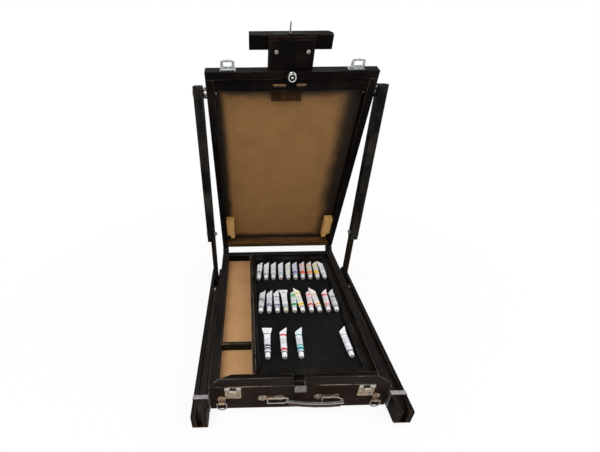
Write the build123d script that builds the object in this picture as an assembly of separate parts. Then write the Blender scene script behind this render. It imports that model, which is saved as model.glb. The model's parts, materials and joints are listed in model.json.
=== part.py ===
from build123d import *
import math
import os

# A box easel: a flat paint box whose lid stands up as the easel, with a mast in the
# lid, a sliding stay on each side of it, a leg along each side and one underneath.
#
# All lengths are millimetres. Pieces are drawn in box coordinates: x from the middle
# of the box, y from the outer face of the front wall towards the hinges, z up from
# the underside. Pieces of the lid are drawn with the lid shut and then turned open.
# Writing a piece moves it in y, so that the origin is under the middle of the whole.

# Box
BOX_W = 380.0
BOX_D = 540.0
BOX_H = 74.0
WALL = 20.0
BOTTOM_T = 4.0
BOTTOM_Z = 34.0
GROOVE = 5.0
EASE = 0.8

# Lid and its hinges
LID_T = 28.0
LID_ANGLE = 73.56
LID_SIDE_W = 18.0
LID_TOP_W = 15.5
LID_PANEL_T = 3.5
LID_REBATE = 5.0
BLOCK_W = 25.0
BLOCK_S = (39.0, 116.0)
BLOCK_FOOT = (12.0, 14.0, 14.0)
HINGE_SETBACK = 16.0
EAR_R = 12.0
EAR_GAP = 0.5
PIN_R = 3.0
RUNNING = 0.05
EAR_DROP = 2.0
LID_EAR_Z = (3.0, 24.0)
PIN_HEAD_R = 5.0
PIN_HEAD_H = 2.0

# Well floor, partition and divider
PARTITION_X = -98.0
PARTITION_T = 8.0
DIVIDER_DROP = 2.0
CORNER_PLATE = (9.0, 10.0)
FLOOR_Z = 47.0
FLOOR_T = 3.0
BATTEN_W = 12.0
DIVIDER_Y = 119.0
DIVIDER_T = 7.0
FRONT_LEDGE_W = 11.0
LEDGE_MITRE = 27.0
SIDE_LEDGE_W = 12.0
LEDGE_DROP = 2.0

# Lift-out insert with the paint tubes
INSERT_GAP = 0.5
INSERT_Z = 54.0
INSERT_FRAME_H = 14.0
INSERT_BOARD_T = 5.0
FRAME_RIGHT_W = 11.0
FRAME_FRONT_W = 15.0
FRAME_LEFT_W = 8.0
FRAME_REAR_W = 14.0
FRAME_BEVEL = 4.0
REST_W = 8.0
TIE_HOLE_R = 1.6

# Paint tubes
TUBE_R = 7.3
TUBE_BODY = 78.0
TUBE_SHOULDER = 3.0
TUBE_NECK_R = 3.4
CRIMP_W = 25.0
FOLDED_W = 17.0
FRONT_FOLDED_W = 21.0
CRIMP_L = 5.0
CRIMP_T = 1.6
FOLD_L = 23.0
FOLD_TIP_W = 3.5
FLAT_SHARE = 0.7
FLARE_SHARE = 0.7
FLARE_SIZE = (8.0, 3.8, 5.8)
CAP_R = 5.9
CAP_TIP_R = 5.3
CAP_L = 13.0
TUBES = 10
TUBE_GAPS = (9.5, 11.5)
BIG_TUBES = 6
BIG_GAPS = (19.5, 15.5)
TUBE_PROP = 4.1
FRONT_ROW_GAP = 32.5
BACK_ROW_GAP = 18.5
TIE_HOLES_X = (84.0, 131.0)
TIE_HOLES_Y = (70.0, 184.0)

# Side legs
LEG_GAP = 1.0
LEG_W = 31.0
LEG_Z = 4.0
LEG_H = 46.0
LEG_NOSE = 49.0
LEG_TOP_EASE = 2.5
LEG_TOE_R = 12.0
LEG_HEAD_Y = BOX_D - 51
LEG_WEB = 8.0
LEG_INNER_CHEEK = 8.5
SLAT_W = 12.0
SLAT_PLAY = 0.5
LEG_SLAT_H = 34.0
LEG_SLAT_NOSE = 36.0
LEG_FOOT_R = 14.0
LEG_SLAT_L = BOX_D - 120
PIVOT_Z = 24.0
BOLT_R = 4.0
BOLT_HEAD_R = 9.0
BOLT_HEAD_H = 3.0
BOLT_DOME = 3.5
NUT_SEAT = 1.5
BOLT_GAP = 0.3
BAND_W = 10.0
BAND_T = 1.0
STOP_SCREW_Y = BOX_D - 175
STOP_SCREW_R = 4.6

# Stays
STAY_S = BOX_D - 46.5
STAY_T = 14.0
STAY_W = 20.5
STAY_DEPTH = 30.0
STAY_ABOVE = 15.0
STAY_SLAT_DEPTH = 20.0
STAY_GROOVE_PLAY = 0.25
STAY_OVERLAP = 140.0
STAY_FOOT_GAP = 26.6
STAY_TRAVEL = 136.0
SLOT_SPARE = 4.0
WASHER_R = 7.5
CLAMP_HEAD = (7.0, 4.5, 2.6)
NUT_R = 5.3
CLAMP_UP = 20.0
CLAMP_R = 3.0

# Leg under the box
REAR_LEG_W = 32.0
REAR_LEG_Z = 3.0
REAR_LEG_H = 28.0
REAR_PIVOT_Y = BOX_D - WALL - 20
REAR_PIVOT_Z = 14.0
REAR_LEG_FRONT = 24.0
REAR_FOOT_R = 6.0
REAR_GAP = 0.5
BRACKET_T = 18.0
BRACKET_D = 32.0
BRACKET_Z = 2.0

# Mast in the top rail of the lid
MAST_X = -4.0
MAST_W = 98.0
TAIL_W = 70.0
TAIL_X = -7.0
MAST_FACE_T = 9.0
MAST_PLATE_T = 5.0
MAST_BOARD_T = 7.0
MAST_PLAY = 0.5
MAST_TOP = BOX_D + 58
MAST_SHOULDER = BOX_D - 25
MAST_TAIL = BOX_D - 66
PLATE_TOP = BOX_D + 54
PLATE_W = 94.0
PLATE_BOTTOM = BOX_D - 35
CROSS_W = 175.0
CROSS_X = -5.5
CROSS_H = 26.0
CROSS_D = 28.0
CROSS_CUT = (7.0, 12.0)
CROSS_TOP = BOX_D + 60
GUIDE_FACE_T = 4.0
GUIDE_BOTTOM = BOX_D - 40.5
SLIT_S = BOX_D - 28
SLIT_H = 6.0
SLIT_DEEP = 1.2
SLITS_X = ((-40.0, -12.0), (13.0, 34.0))
SCREWS_X = (-36.0, 31.0)
SPIKE_X = -8.0
SPIKE_R = 1.5
SPIKE_L = 22.0
SPIKE_POINT = 4.0
COLLAR_R = 3.4
COLLAR_L = 3.0
KNOB_S = BOX_D - 10
KNOB_R = 9.7
KNOB_H = 7.0
KNOB_GAP = 2.3
KNOB_DISH = 2.2
SCREW_S = BOX_D + 33
SCREW_R = 4.4

# Latches, handle, rings
SHEET = 1.0
SMALL_HEAD_R = 2.2
SMALL_HEAD_H = 0.8
RIM_GAP = 0.2
KEEP_X = (-11.2, 13.4)
KEEP_H = 20.5
KEEP_T = 1.6
LATCH_X = 139.5
LATCH_W = 34.0
KEEPER_Z = 55.0
KEEPER_H = 37.0
KEEPER_SCREW_X = 9.0
KEEPER_SCREW_Z = 44.0
LATCH_PLATE_T = (2.0, 23.0)
LATCH_SCREW = (10.0, 16.0)
KNUCKLE_R = 2.3
KNUCKLE_OUT = 3.3
KNUCKLE_T = 3.0
LEAF_NECK = 8.8
HASP_L = 19.0
HASP_T = 1.2
HASP_WINDOW = (6.5, 14.5)
HOOK_OUT = 6.6
HOOK_HALF_W = 7.0
HOOK_Z = (64.0, 69.0)
RING_X = 164.5
RING_Z = 24.0
RING_PLATE = (8.0, 36.0, 21.0)
TUNNEL_R = 2.6
HANDLE_X = 59.0
HANDLE_Z = 36.0
HANDLE_PLATE = (19.0, 9.0, 6.5)
HANDLE_SCREW_R = 2.8
LOOP_LOW_Z = 22.0
LOOP_BEND_R = 1.8
HANDLE_AXIS_Z = 39.5
HANDLE_OUT = 4.5
GRIP_LEFT = (-25.0, 35.2)
GRIP_RIGHT = (91.5, 27.5)
GRIP_SAG = 5.5
GRIP_OUT = 9.6
GRIP_DROP = 6.3
GRIP_H = 9.5
GRIP_T = 7.0
STRIP_T = 2.6
RING_OUT = 5.0
RING_BAR = 10.0
RING_SIDE = 11.0
RING_DROP = 21.0
WIRE_R = 1.2

# Places worked out from the sizes above
HALF_W = BOX_W / 2
HINGE_Y = BOX_D + HINGE_SETBACK
LID_COS = math.cos(math.radians(LID_ANGLE))
LID_SIN = math.sin(math.radians(LID_ANGLE))
LID_HEEL_Y = HINGE_Y - HINGE_SETBACK * LID_COS + LID_T * LID_SIN
ORIGIN_Y = (LID_HEEL_Y - LEG_NOSE) / 2
STAY_ARM = STAY_S + HINGE_SETBACK
STAY_Y = HINGE_Y - STAY_ARM * LID_COS + STAY_T * LID_SIN
STAY_Z = BOX_H + STAY_ARM * LID_SIN + STAY_T * LID_COS
STAY_FOOT_Z = PIVOT_Z + STAY_TRAVEL + STAY_FOOT_GAP
LEG_X = HALF_W + LEG_GAP
SLAT_X = LEG_X + LEG_INNER_CHEEK + SLAT_PLAY
LEG_OUT_X = LEG_X + LEG_W
INSERT_TOP = INSERT_Z + INSERT_BOARD_T
LID_INNER = HALF_W - LID_SIDE_W


def block(x, y, z):
    """A straight block between two values of x, of y and of z."""
    centre = ((x[0] + x[1]) / 2, (y[0] + y[1]) / 2, (z[0] + z[1]) / 2)
    return Pos(*centre) * Box(x[1] - x[0], y[1] - y[0], z[1] - z[0])


def board(x, y, z, ease=EASE):
    """A block with its edges eased, as planed timber has."""
    raw = block(x, y, z)
    return chamfer(raw.edges(), ease)


def rod_x(radius, x, y, z):
    """A round bar along x."""
    return Pos((x[0] + x[1]) / 2, y, z) * Rot(0, 90, 0) * Cylinder(radius, x[1] - x[0])


def rod_y(radius, x, y, z):
    """A round bar along y."""
    return Pos(x, (y[0] + y[1]) / 2, z) * Rot(90, 0, 0) * Cylinder(radius, y[1] - y[0])


def rod_z(radius, x, y, z):
    """A round bar along z."""
    return Pos(x, y, (z[0] + z[1]) / 2) * Cylinder(radius, z[1] - z[0])


def slab_x(outline, x):
    """An outline drawn in y and z, carried along x."""
    return Pos(x[0], 0, 0) * extrude(Plane.YZ * outline, x[1] - x[0])


def slab_y(outline, y):
    """An outline drawn in x and z, carried along y."""
    return Pos(0, y[1], 0) * extrude(Plane.XZ * outline, y[1] - y[0])


def slab_z(outline, z):
    """An outline drawn in x and y, carried along z."""
    return Pos(0, 0, z[0]) * extrude(outline, z[1] - z[0])


def area(u, v):
    """A rectangle between two values of each coordinate of a plane."""
    centre = ((u[0] + u[1]) / 2, (v[0] + v[1]) / 2)
    return Pos(*centre) * Rectangle(u[1] - u[0], v[1] - v[0])


def outline(*points):
    """A face inside straight lines through the points."""
    return make_face(Polyline(*points, close=True))


def other_side(solid):
    """The same piece on the other side of the box."""
    return mirror(solid, about=Plane.YZ)


def both_sides(solid):
    """A piece and its mirror image."""
    return [solid, other_side(solid)]


def opened(solid):
    """A piece of the lid, turned from shut to open."""
    hinge = Axis((0, HINGE_Y, BOX_H), (1, 0, 0))
    return solid.rotate(hinge, -LID_ANGLE)


def along(s):
    """The y of a point of the shut lid, from its distance to the hinge end."""
    return BOX_D - s


def deep(t):
    """The z of a point of the shut lid, from its depth behind the rim."""
    return BOX_H + t


def write(node, *solids):
    """Put a piece in its frame and write it under its name."""
    placed = [Pos(0, -ORIGIN_Y, 0) * solid for solid in solids]
    whole = placed[0] if len(placed) == 1 else Compound(children=placed)
    export_step(whole, f"parts/{node}.step")


# The box


def bottom_panel():
    """Thin panel let into a groove all round the walls."""
    side = HALF_W - WALL + GROOVE
    return block((-side, side), (WALL - GROOVE, BOX_D - WALL + GROOVE), (BOTTOM_Z, BOTTOM_Z + BOTTOM_T))


def knob_notch():
    """Room for the mast knob in the front of the box when the lid is shut."""
    reach = KNOB_R + KNOB_GAP
    drop = KNOB_H + 2 * KNOB_GAP
    return block((-reach, reach), (-1.0, WALL + FRONT_LEDGE_W + 1.0), (BOX_H - drop, BOX_H + 1.0))


def front_wall():
    """Front wall, mitred at both ends, with the notch for the mast knob."""
    plan = outline((-HALF_W, 0), (HALF_W, 0), (HALF_W - WALL, WALL), (-HALF_W + WALL, WALL))
    return slab_z(plan, (0, BOX_H)) - bottom_panel() - knob_notch()


def rear_wall():
    """Rear wall, housed between the side walls."""
    side = HALF_W - WALL
    wall = block((-side, side), (BOX_D - WALL, BOX_D), (0, BOX_H))
    return wall - bottom_panel()


def hinge_ear(x, end_y, low, high):
    """A rounded ear about the hinge pin, drawn out to a wall or a rail."""
    eye = Pos(HINGE_Y, BOX_H) * Circle(EAR_R)
    root = area((end_y - 1, end_y), (low, high))
    return slab_x(make_hull(eye.edges() + root.edges()), x)


def right_wall():
    """Side wall with the outer hinge ear and the seat of the leg bolt."""
    inner = HALF_W - WALL
    plan = outline((inner, WALL), (HALF_W, 0), (HALF_W, BOX_D), (inner, BOX_D))
    wall = slab_z(plan, (0, BOX_H))
    wall += hinge_ear((HALF_W - WALL / 2, HALF_W), BOX_D, BOX_H / 2, BOX_H - EAR_DROP)
    wall -= rod_x(PIN_R, (inner, HALF_W + 1), HINGE_Y, BOX_H)
    wall -= rod_x(BOLT_R, (inner, HALF_W + 1), STAY_Y, PIVOT_Z)
    wall -= rod_x(BOLT_HEAD_R, (inner - 1, inner + NUT_SEAT), STAY_Y, PIVOT_Z)
    return wall - bottom_panel()


def ledge_corner():
    """Corner of the well in front of the mitred end of the front ledge."""
    side = HALF_W - WALL
    back = WALL + FRONT_LEDGE_W
    return outline((-side, WALL), (-side + LEDGE_MITRE, back), (-side, back))


def front_ledge():
    """Strip behind the front wall, notched for the knob and mitred at its left end."""
    side = HALF_W - WALL
    height = (BOTTOM_Z + BOTTOM_T, BOX_H)
    strip = block((-side, side), (WALL, WALL + FRONT_LEDGE_W), height)
    return strip - knob_notch() - slab_z(ledge_corner(), height)


def side_ledge():
    """Strip along the right wall that the insert lies against and rests on."""
    right = HALF_W - WALL
    left = right - SIDE_LEDGE_W
    base = BOTTOM_Z + BOTTOM_T
    top = INSERT_Z + INSERT_FRAME_H - LEDGE_DROP
    section = outline(
        (left - REST_W, base),
        (right, base),
        (right, top),
        (left, top),
        (left, INSERT_Z),
        (left - REST_W, INSERT_Z),
    )
    return slab_y(section, (WALL + FRONT_LEDGE_W, BOX_D - WALL))


def partition():
    """Long partition between the brush well and the insert."""
    return block(
        (PARTITION_X, PARTITION_X + PARTITION_T),
        (WALL + FRONT_LEDGE_W, BOX_D - WALL),
        (BOTTOM_Z + BOTTOM_T, BOX_H),
    )


def insert_rest():
    """Strip on the partition that carries the left edge of the insert."""
    left = PARTITION_X + PARTITION_T
    y = (WALL + FRONT_LEDGE_W, BOX_D - WALL)
    return block((left, left + REST_W), y, (BOTTOM_Z + BOTTOM_T, INSERT_Z))


def well_floor():
    """Hardboard floor of the brush well."""
    sheet = block(
        (-HALF_W + WALL, PARTITION_X),
        (WALL + FRONT_LEDGE_W, BOX_D - WALL),
        (FLOOR_Z, FLOOR_Z + FLOOR_T),
    )
    return sheet + slab_z(ledge_corner(), (FLOOR_Z, FLOOR_Z + FLOOR_T))


def floor_battens():
    """Two battens that carry the floor of the well."""
    left = -HALF_W + WALL
    length = (WALL + FRONT_LEDGE_W, BOX_D - WALL)
    height = (BOTTOM_Z + BOTTOM_T, FLOOR_Z)
    return [
        block((left, left + BATTEN_W), length, height),
        block((PARTITION_X - BATTEN_W, PARTITION_X), length, height),
    ]


def divider():
    """Short divider across the well, a little below the rim."""
    return block(
        (-HALF_W + WALL, PARTITION_X),
        (DIVIDER_Y, DIVIDER_Y + DIVIDER_T),
        (FLOOR_Z + FLOOR_T, BOX_H - DIVIDER_DROP),
    )


def corner_plates():
    """Small brass plates that tie the partition to the divider and the rear wall."""
    width, tall = CORNER_PLATE
    height = (BOX_H - DIVIDER_DROP - tall, BOX_H - DIVIDER_DROP)
    divider_plate = block(
        (PARTITION_X - SHEET, PARTITION_X),
        (DIVIDER_Y + DIVIDER_T, DIVIDER_Y + DIVIDER_T + width),
        height,
    )
    rear_plate = block(
        (PARTITION_X - SHEET, PARTITION_X),
        (BOX_D - WALL - width, BOX_D - WALL),
        height,
    )
    return [divider_plate, rear_plate]


def hinge_pin():
    """Headed pin through the ear of the box and the ear of the lid."""
    pin = rod_x(PIN_R, (LID_INNER - PIN_HEAD_H, HALF_W), HINGE_Y, BOX_H)
    head = rod_x(PIN_HEAD_R, (HALF_W, HALF_W + PIN_HEAD_H), HINGE_Y, BOX_H)
    rim = head.edges().filter_by(GeomType.CIRCLE).sort_by(Axis.X)[-1:]
    return pin + fillet(rim, 0.6 * PIN_HEAD_H)


# The insert and the paint


def insert_box():
    """The x and y that the insert fills, inside its ledges."""
    x = (PARTITION_X + PARTITION_T + INSERT_GAP, HALF_W - WALL - SIDE_LEDGE_W - INSERT_GAP)
    y = (WALL + FRONT_LEDGE_W + INSERT_GAP, BOX_D - WALL - INSERT_GAP)
    return x, y


def insert_hole():
    """The x and y inside the insert's frame."""
    x, y = insert_box()
    return (x[0] + FRAME_LEFT_W, x[1] - FRAME_RIGHT_W), (y[0] + FRAME_FRONT_W, y[1] - FRAME_REAR_W)


def insert_frame():
    """Four mitred bars with a bevel down to the board."""
    (x0, x1), (y0, y1) = insert_box()
    (u0, u1), (v0, v1) = insert_hole()
    height = (INSERT_Z, INSERT_Z + INSERT_FRAME_H)
    bars = [
        outline((x0, y0), (x1, y0), (u1, v0), (u0, v0)),
        outline((x1, y0), (x1, y1), (u1, v1), (u1, v0)),
        outline((x1, y1), (x0, y1), (u0, v1), (u1, v1)),
        outline((x0, y1), (x0, y0), (u0, v0), (u0, v1)),
    ]
    hollow = slab_z(area((u0, u1), (v0, v1)), height)
    rim = hollow.faces().sort_by(Axis.Z)[-1]
    bevel = extrude(rim, amount=-FRAME_BEVEL, taper=45)
    return [slab_z(bar, height) - bevel for bar in bars]


def insert_board():
    """Black board inside the frame, with the holes for ties at the empty places."""
    x, y = insert_hole()
    sheet = block(x, y, (INSERT_Z, INSERT_TOP))
    for hole_x in TIE_HOLES_X:
        for hole_y in TIE_HOLES_Y:
            sheet -= rod_z(TIE_HOLE_R, hole_x, hole_y, (INSERT_Z - 1, INSERT_TOP + 1))
    return sheet


def tube_body(tip, folded_w):
    """Tube from its shoulder to its folded end, lying along y with its neck at y 0.

    The tail is folded to a point on the side that tip names, or straight for 0. It
    flattens slowly, and flares near the crimp.
    """
    half_w = (folded_w if tip else CRIMP_W) / 2
    start = CAP_L + TUBE_SHOULDER
    end = start + TUBE_BODY + CRIMP_L
    flat_z = TUBE_R * FLAT_SHARE
    flare_w, flare_h, flare_z = FLARE_SIZE
    levels = (
        (CAP_L, TUBE_R),
        (start, TUBE_R),
        (start + TUBE_BODY * FLARE_SHARE, flare_z),
        (start + TUBE_BODY, flat_z),
    )
    sections = [Plane((0, y, z), x_dir=(1, 0, 0), z_dir=(0, 1, 0)) for y, z in levels]
    round_end = sections[1] * Circle(TUBE_R)
    waist = sections[2] * Ellipse(flare_w, flare_h)
    shoulder = loft([sections[0] * Circle(TUBE_NECK_R), round_end], ruled=True)
    body = loft([round_end, waist]) + loft([waist, sections[3] * Ellipse(half_w, CRIMP_T / 2)])
    fold = block(
        (-half_w - 0.5, half_w + 0.5),
        (start + TUBE_BODY - 1, end),
        (flat_z - CRIMP_T / 2, flat_z + CRIMP_T / 2),
    )
    tube = body + shoulder + fold
    if tip == 0:
        return tube
    edge = tip * (half_w + 1)
    away = outline((-edge, end - FOLD_L), (edge - tip * FOLD_TIP_W, end), (edge, end + 1), (-edge, end + 1))
    return tube - slab_z(away, (-TUBE_R, 3 * TUBE_R))


def tube_cap():
    """Screw cap, a little narrower at its tip."""
    return Pos(0, CAP_L / 2, TUBE_R) * Rot(90, 0, 0) * Cone(CAP_R, CAP_TIP_R, CAP_L)


def tube_places(count, gaps):
    """Evenly spaced x of the tubes of a row, from gaps at both ends of the board."""
    (left, right), _ = insert_hole()
    first = left + gaps[0]
    pitch = (right - gaps[1] - first) / (count - 1)
    return [first + place * pitch for place in range(count)]


def tube_row(places, leans, tips, y, propped=(), folded_w=FOLDED_W):
    """Bodies and caps of one row, each tube turned a little about its cap.

    A propped tube lies with its tail on the tail of the tube before it.
    """
    bodies = []
    caps = []
    for number, (x, lean, tip) in enumerate(zip(places, leans, tips)):
        tilt = TUBE_PROP if number in propped else 0
        spot = Pos(x, y, INSERT_TOP) * Rot(tilt, 0, lean)
        bodies.append(spot * tube_body(tip, folded_w))
        caps.append(spot * tube_cap())
    return bodies, caps


BACK_LEANS = (-5, -4, -4, -4.5, -5, -4.5, -5.5, -5.5, -3.5, -0.5)
MIDDLE_LEANS = (-6, -4, -1.5, -1, -4, 4.5, -3, 5, -3, -1)
MIDDLE_PROPPED = (5, 7)
BACK_TIPS = (1, 1, 1, 1, 1, 1, 1, 1, 1, -1)
MIDDLE_TIPS = (1, 1, 1, 0, 1, -1, 1, -1, 1, 1)
FRONT_TIPS = (0, 1, 1, 1)
FRONT_FILLED = (0, 1, 2, 5)
FRONT_LEANS = (-2, -2.5, -2.5, 1)


# Front fittings


def keep_plate():
    """Steel plate on the front wall, below the knob's notch."""
    face = block(KEEP_X, (-KEEP_T, 0), (BOX_H - KEEP_H, BOX_H - RIM_GAP))
    return chamfer(face.edges().filter_by(Axis.Y), KEEP_T)


def keeper_plate():
    """Brass-plated latch plate on the front wall, with two screw heads."""
    shape = Pos(LATCH_X, KEEPER_Z) * RectangleRounded(LATCH_W, KEEPER_H, 3)
    plate = slab_y(shape, (-SHEET, 0))
    for offset in (-KEEPER_SCREW_X, KEEPER_SCREW_X):
        plate += rod_y(SMALL_HEAD_R, LATCH_X + offset, (-SHEET - SMALL_HEAD_H, -SHEET), KEEPER_SCREW_Z)
    return plate


def keeper_hook():
    """Nickel catch: a flange over the plate and a tongue that hooks outward."""
    x0 = LATCH_X
    half = LATCH_W / 2
    low, high = HOOK_Z
    wide_low = high - 2.5
    tongue = (x0 - HOOK_HALF_W, x0 + HOOK_HALF_W)
    flange = area((x0 - half, x0 + half), (wide_low, BOX_H - 0.5))
    flange -= area((x0 - 5, x0 + 5), (high + 1.5, BOX_H))
    flange += area((tongue[0] - 1, tongue[1] + 1), (low - 3, wide_low + 0.5))
    catch = slab_y(flange, (-2 * SHEET, -SHEET))
    catch += block(tongue, (-HOOK_OUT, -2 * SHEET), (low, low + HASP_T))
    return catch + block(tongue, (-HOOK_OUT, -HOOK_OUT + HASP_T), HOOK_Z)


def ring_plate():
    """Plate with a round head and a tunnel for the strap ring."""
    half, head_z, low = RING_PLATE
    shape = Pos(RING_X, head_z) * Circle(half) + area((RING_X - half, RING_X + half), (low, head_z))
    plate = slab_y(shape, (-SHEET, 0))
    plate += rod_y(SMALL_HEAD_R, RING_X, (-SHEET - SMALL_HEAD_H, -SHEET), head_z + 1)
    height = (RING_Z - TUNNEL_R, RING_Z + TUNNEL_R)
    tunnel = block((RING_X - 6, RING_X + 6), (-RING_OUT - 2.2, -SHEET), height)
    tunnel = fillet(tunnel.edges().filter_by(Axis.X).sort_by(Axis.Y)[:2], 2)
    bore = rod_x(WIRE_R + RUNNING, (RING_X - half, RING_X + half), -RING_OUT, RING_Z)
    return plate + tunnel - bore


def wire(points, radius, corner, close=True):
    """Round wire bent along a path with rounded corners."""
    path = FilletPolyline(*points, radius=corner, close=close)
    start = Plane(origin=path @ 0, z_dir=path % 0)
    return sweep(start * Circle(radius), path=path)


def strap_ring():
    """D ring: a straight bar in the tunnel and a round bow below it."""
    y = -RING_OUT
    start = (RING_X, y, RING_Z)
    right = (RING_X + RING_BAR, y, RING_Z)
    left = (RING_X - RING_BAR, y, RING_Z)
    bow_start = (RING_X + RING_BAR, y, RING_Z - RING_SIDE)
    bow_end = (RING_X - RING_BAR, y, RING_Z - RING_SIDE)
    bow = ThreePointArc(bow_start, (RING_X, y, RING_Z - RING_DROP), bow_end)
    path = Wire([
        Line(start, right),
        Line(right, bow_start),
        bow,
        Line(bow_end, left),
        Line(left, start),
    ])
    start = Plane(origin=start, z_dir=(1, 0, 0))
    return sweep(start * Circle(WIRE_R), path=path, transition=Transition.RIGHT)


def handle_plate():
    """Long handle plate with two rounded ends, a waist and a tunnel for the loop."""
    z = HANDLE_Z
    end_x, end_r, waist = HANDLE_PLATE
    shape = Pos(HANDLE_X - end_x, z) * Circle(end_r) + Pos(HANDLE_X + end_x, z) * Circle(end_r)
    shape += area((HANDLE_X - end_x, HANDLE_X + end_x), (z - waist, z + waist))
    plate = slab_y(shape, (-SHEET, 0))
    for offset in (-end_x, end_x):
        plate += rod_y(HANDLE_SCREW_R, HANDLE_X + offset, (-SHEET - 1, -SHEET), z)
    height = (HANDLE_AXIS_Z - TUNNEL_R, HANDLE_AXIS_Z + TUNNEL_R)
    tunnel = block((HANDLE_X - 5, HANDLE_X + 5), (-HANDLE_OUT - 2.4, -SHEET), height)
    tunnel = fillet(tunnel.edges().filter_by(Axis.X).sort_by(Axis.Y)[:2], 2)
    return plate + tunnel


def handle_bore():
    """The bore that both loops turn in."""
    return rod_x(WIRE_R + RUNNING, (-HANDLE_X - 30, HANDLE_X + 30), -HANDLE_OUT, HANDLE_AXIS_Z)


def handle_loops():
    """Wire loops from the plates to the sleeves of the grip."""
    z = HANDLE_AXIS_Z
    low = LOOP_LOW_Z
    left_x, left_z = GRIP_LEFT
    right_x, right_z = GRIP_RIGHT
    outer = HANDLE_X + 8
    inner = HANDLE_X - 10
    left = [(-outer, z), (left_x, z), (left_x, left_z - 5), (left_x - 5, low), (-outer, low)]
    right = [
        (inner, z),
        (right_x - 13.5, z),
        (right_x, right_z + 4),
        (right_x, right_z - 4),
        (right_x - 7.5, low - 2),
        (inner, low),
    ]
    return [wire([(x, -HANDLE_OUT, z) for x, z in points], WIRE_R, LOOP_BEND_R) for points in (left, right)]


def grip_bow(rise):
    """The bow of the grip from end to end, raised or lowered."""
    y = -GRIP_OUT
    middle_x = (GRIP_LEFT[0] + GRIP_RIGHT[0]) / 2
    middle_z = (GRIP_LEFT[1] + GRIP_RIGHT[1]) / 2 - GRIP_SAG
    return ThreePointArc(
        (GRIP_LEFT[0] + 2, y, GRIP_LEFT[1] + rise),
        (middle_x, y, middle_z + rise),
        (GRIP_RIGHT[0] - 2, y, GRIP_RIGHT[1] + rise),
    )


def handle_grip():
    """Moulded grip that hangs below its steel strip, with a rivet near each end."""
    path = grip_bow(-GRIP_DROP)
    start = Plane(origin=path @ 0, x_dir=(0, 1, 0), z_dir=path % 0)
    grip = sweep(start * RectangleRounded(GRIP_T, GRIP_H, 3.0), path=path)
    for share in (0.07, 0.88):
        spot = path @ share
        grip += rod_y(1.9, spot.X, (spot.Y - GRIP_T / 2 - 0.8, spot.Y), spot.Z)
    return grip


def handle_strip():
    """Steel strip along the top of the grip, with a riveted sleeve at each end."""
    path = grip_bow(0)
    start = Plane(origin=path @ 0, x_dir=(0, 1, 0), z_dir=path % 0)
    strip = sweep(start * Rectangle(5.0, STRIP_T), path=path)
    front = -GRIP_OUT - 2.5
    for x, z in (GRIP_LEFT, GRIP_RIGHT):
        strip += block((x - 2.5, x + 2.5), (front, -HANDLE_OUT), (z - STRIP_T / 2, z + 2))
        strip += rod_z(3.0, x, -HANDLE_OUT, (z - 2.2, z + 2.2))
        strip -= rod_z(WIRE_R + RUNNING, x, -HANDLE_OUT, (z - 4, z + 4))
    return strip


# The lid


def lid_side():
    """Right stile of the lid with the inner hinge ear, rebated for the panel."""
    rail = block((LID_INNER, HALF_W), (LID_TOP_W, BOX_D), (BOX_H, BOX_H + LID_T))
    ear_x = (LID_INNER, HALF_W - WALL / 2 - EAR_GAP)
    rail += hinge_ear(ear_x, BOX_D, deep(LID_EAR_Z[0]), deep(LID_EAR_Z[1]))
    rail -= rod_x(PIN_R + RUNNING, (LID_INNER - 1, HALF_W), HINGE_Y, BOX_H)
    rail -= rod_x(BOLT_R, (LID_INNER - 1, HALF_W + 1), along(STAY_S), deep(STAY_T))
    return rail - lid_panel()


def lid_top_rail():
    """Free end of the lid, with the slot for the mast and the bore of the knob."""
    rail = block((-HALF_W, HALF_W), (0, LID_TOP_W), (BOX_H, BOX_H + LID_T))
    rail -= mast_slot()
    rail -= rod_z(PIN_R + RUNNING, 0, along(KNOB_S), (BOX_H - 1, deep(MAST_FACE_T)))
    return rail - lid_panel()


def lid_bottom_rail():
    """Hinge end of the lid."""
    rail = block((-LID_INNER, LID_INNER), (BOX_D - LID_SIDE_W, BOX_D), (BOX_H, BOX_H + LID_T))
    return rail - lid_panel()


def lid_panel():
    """Hardboard back of the lid, in a rebate and flush with the frame."""
    side = LID_INNER + LID_REBATE
    return block(
        (-side, side),
        (LID_TOP_W - LID_REBATE, BOX_D - LID_SIDE_W + LID_REBATE),
        (deep(LID_T - LID_PANEL_T), deep(LID_T)),
    )


def mast_slot():
    """The space that the mast slides in, through the top rail and the guide."""
    half = MAST_W / 2 + MAST_PLAY
    depth = (MAST_FACE_T - MAST_PLAY, MAST_FACE_T + MAST_PLATE_T + MAST_BOARD_T + MAST_PLAY)
    return block(
        (MAST_X - half, MAST_X + half),
        (-1, along(GUIDE_BOTTOM) + 1),
        (deep(depth[0]), deep(depth[1])),
    )


def mast_guide():
    """Bar behind the top rail that guides the mast, with two shallow slits."""
    bar = block(
        (-LID_INNER, LID_INNER),
        (LID_TOP_W, along(GUIDE_BOTTOM)),
        (deep(GUIDE_FACE_T), deep(LID_T - LID_PANEL_T)),
    )
    bar -= mast_slot()
    y = (along(SLIT_S + SLIT_H / 2), along(SLIT_S - SLIT_H / 2))
    for x in SLITS_X:
        bar -= block(x, y, (deep(GUIDE_FACE_T) - 1, deep(GUIDE_FACE_T + SLIT_DEEP)))
    return bar


def lid_block():
    """Pale wooden block in the lower corner of the lid, notched at its foot."""
    x = (LID_INNER - BLOCK_W, LID_INNER)
    near, far = BLOCK_S
    piece = board(x, (along(far), along(near)), (deep(3), deep(LID_T - LID_PANEL_T)))
    wide, long, thick = BLOCK_FOOT
    foot = block((x[1] - wide, x[1] + 1), (along(near + long), along(near) + 1), (deep(2), deep(thick)))
    return piece - foot


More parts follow.
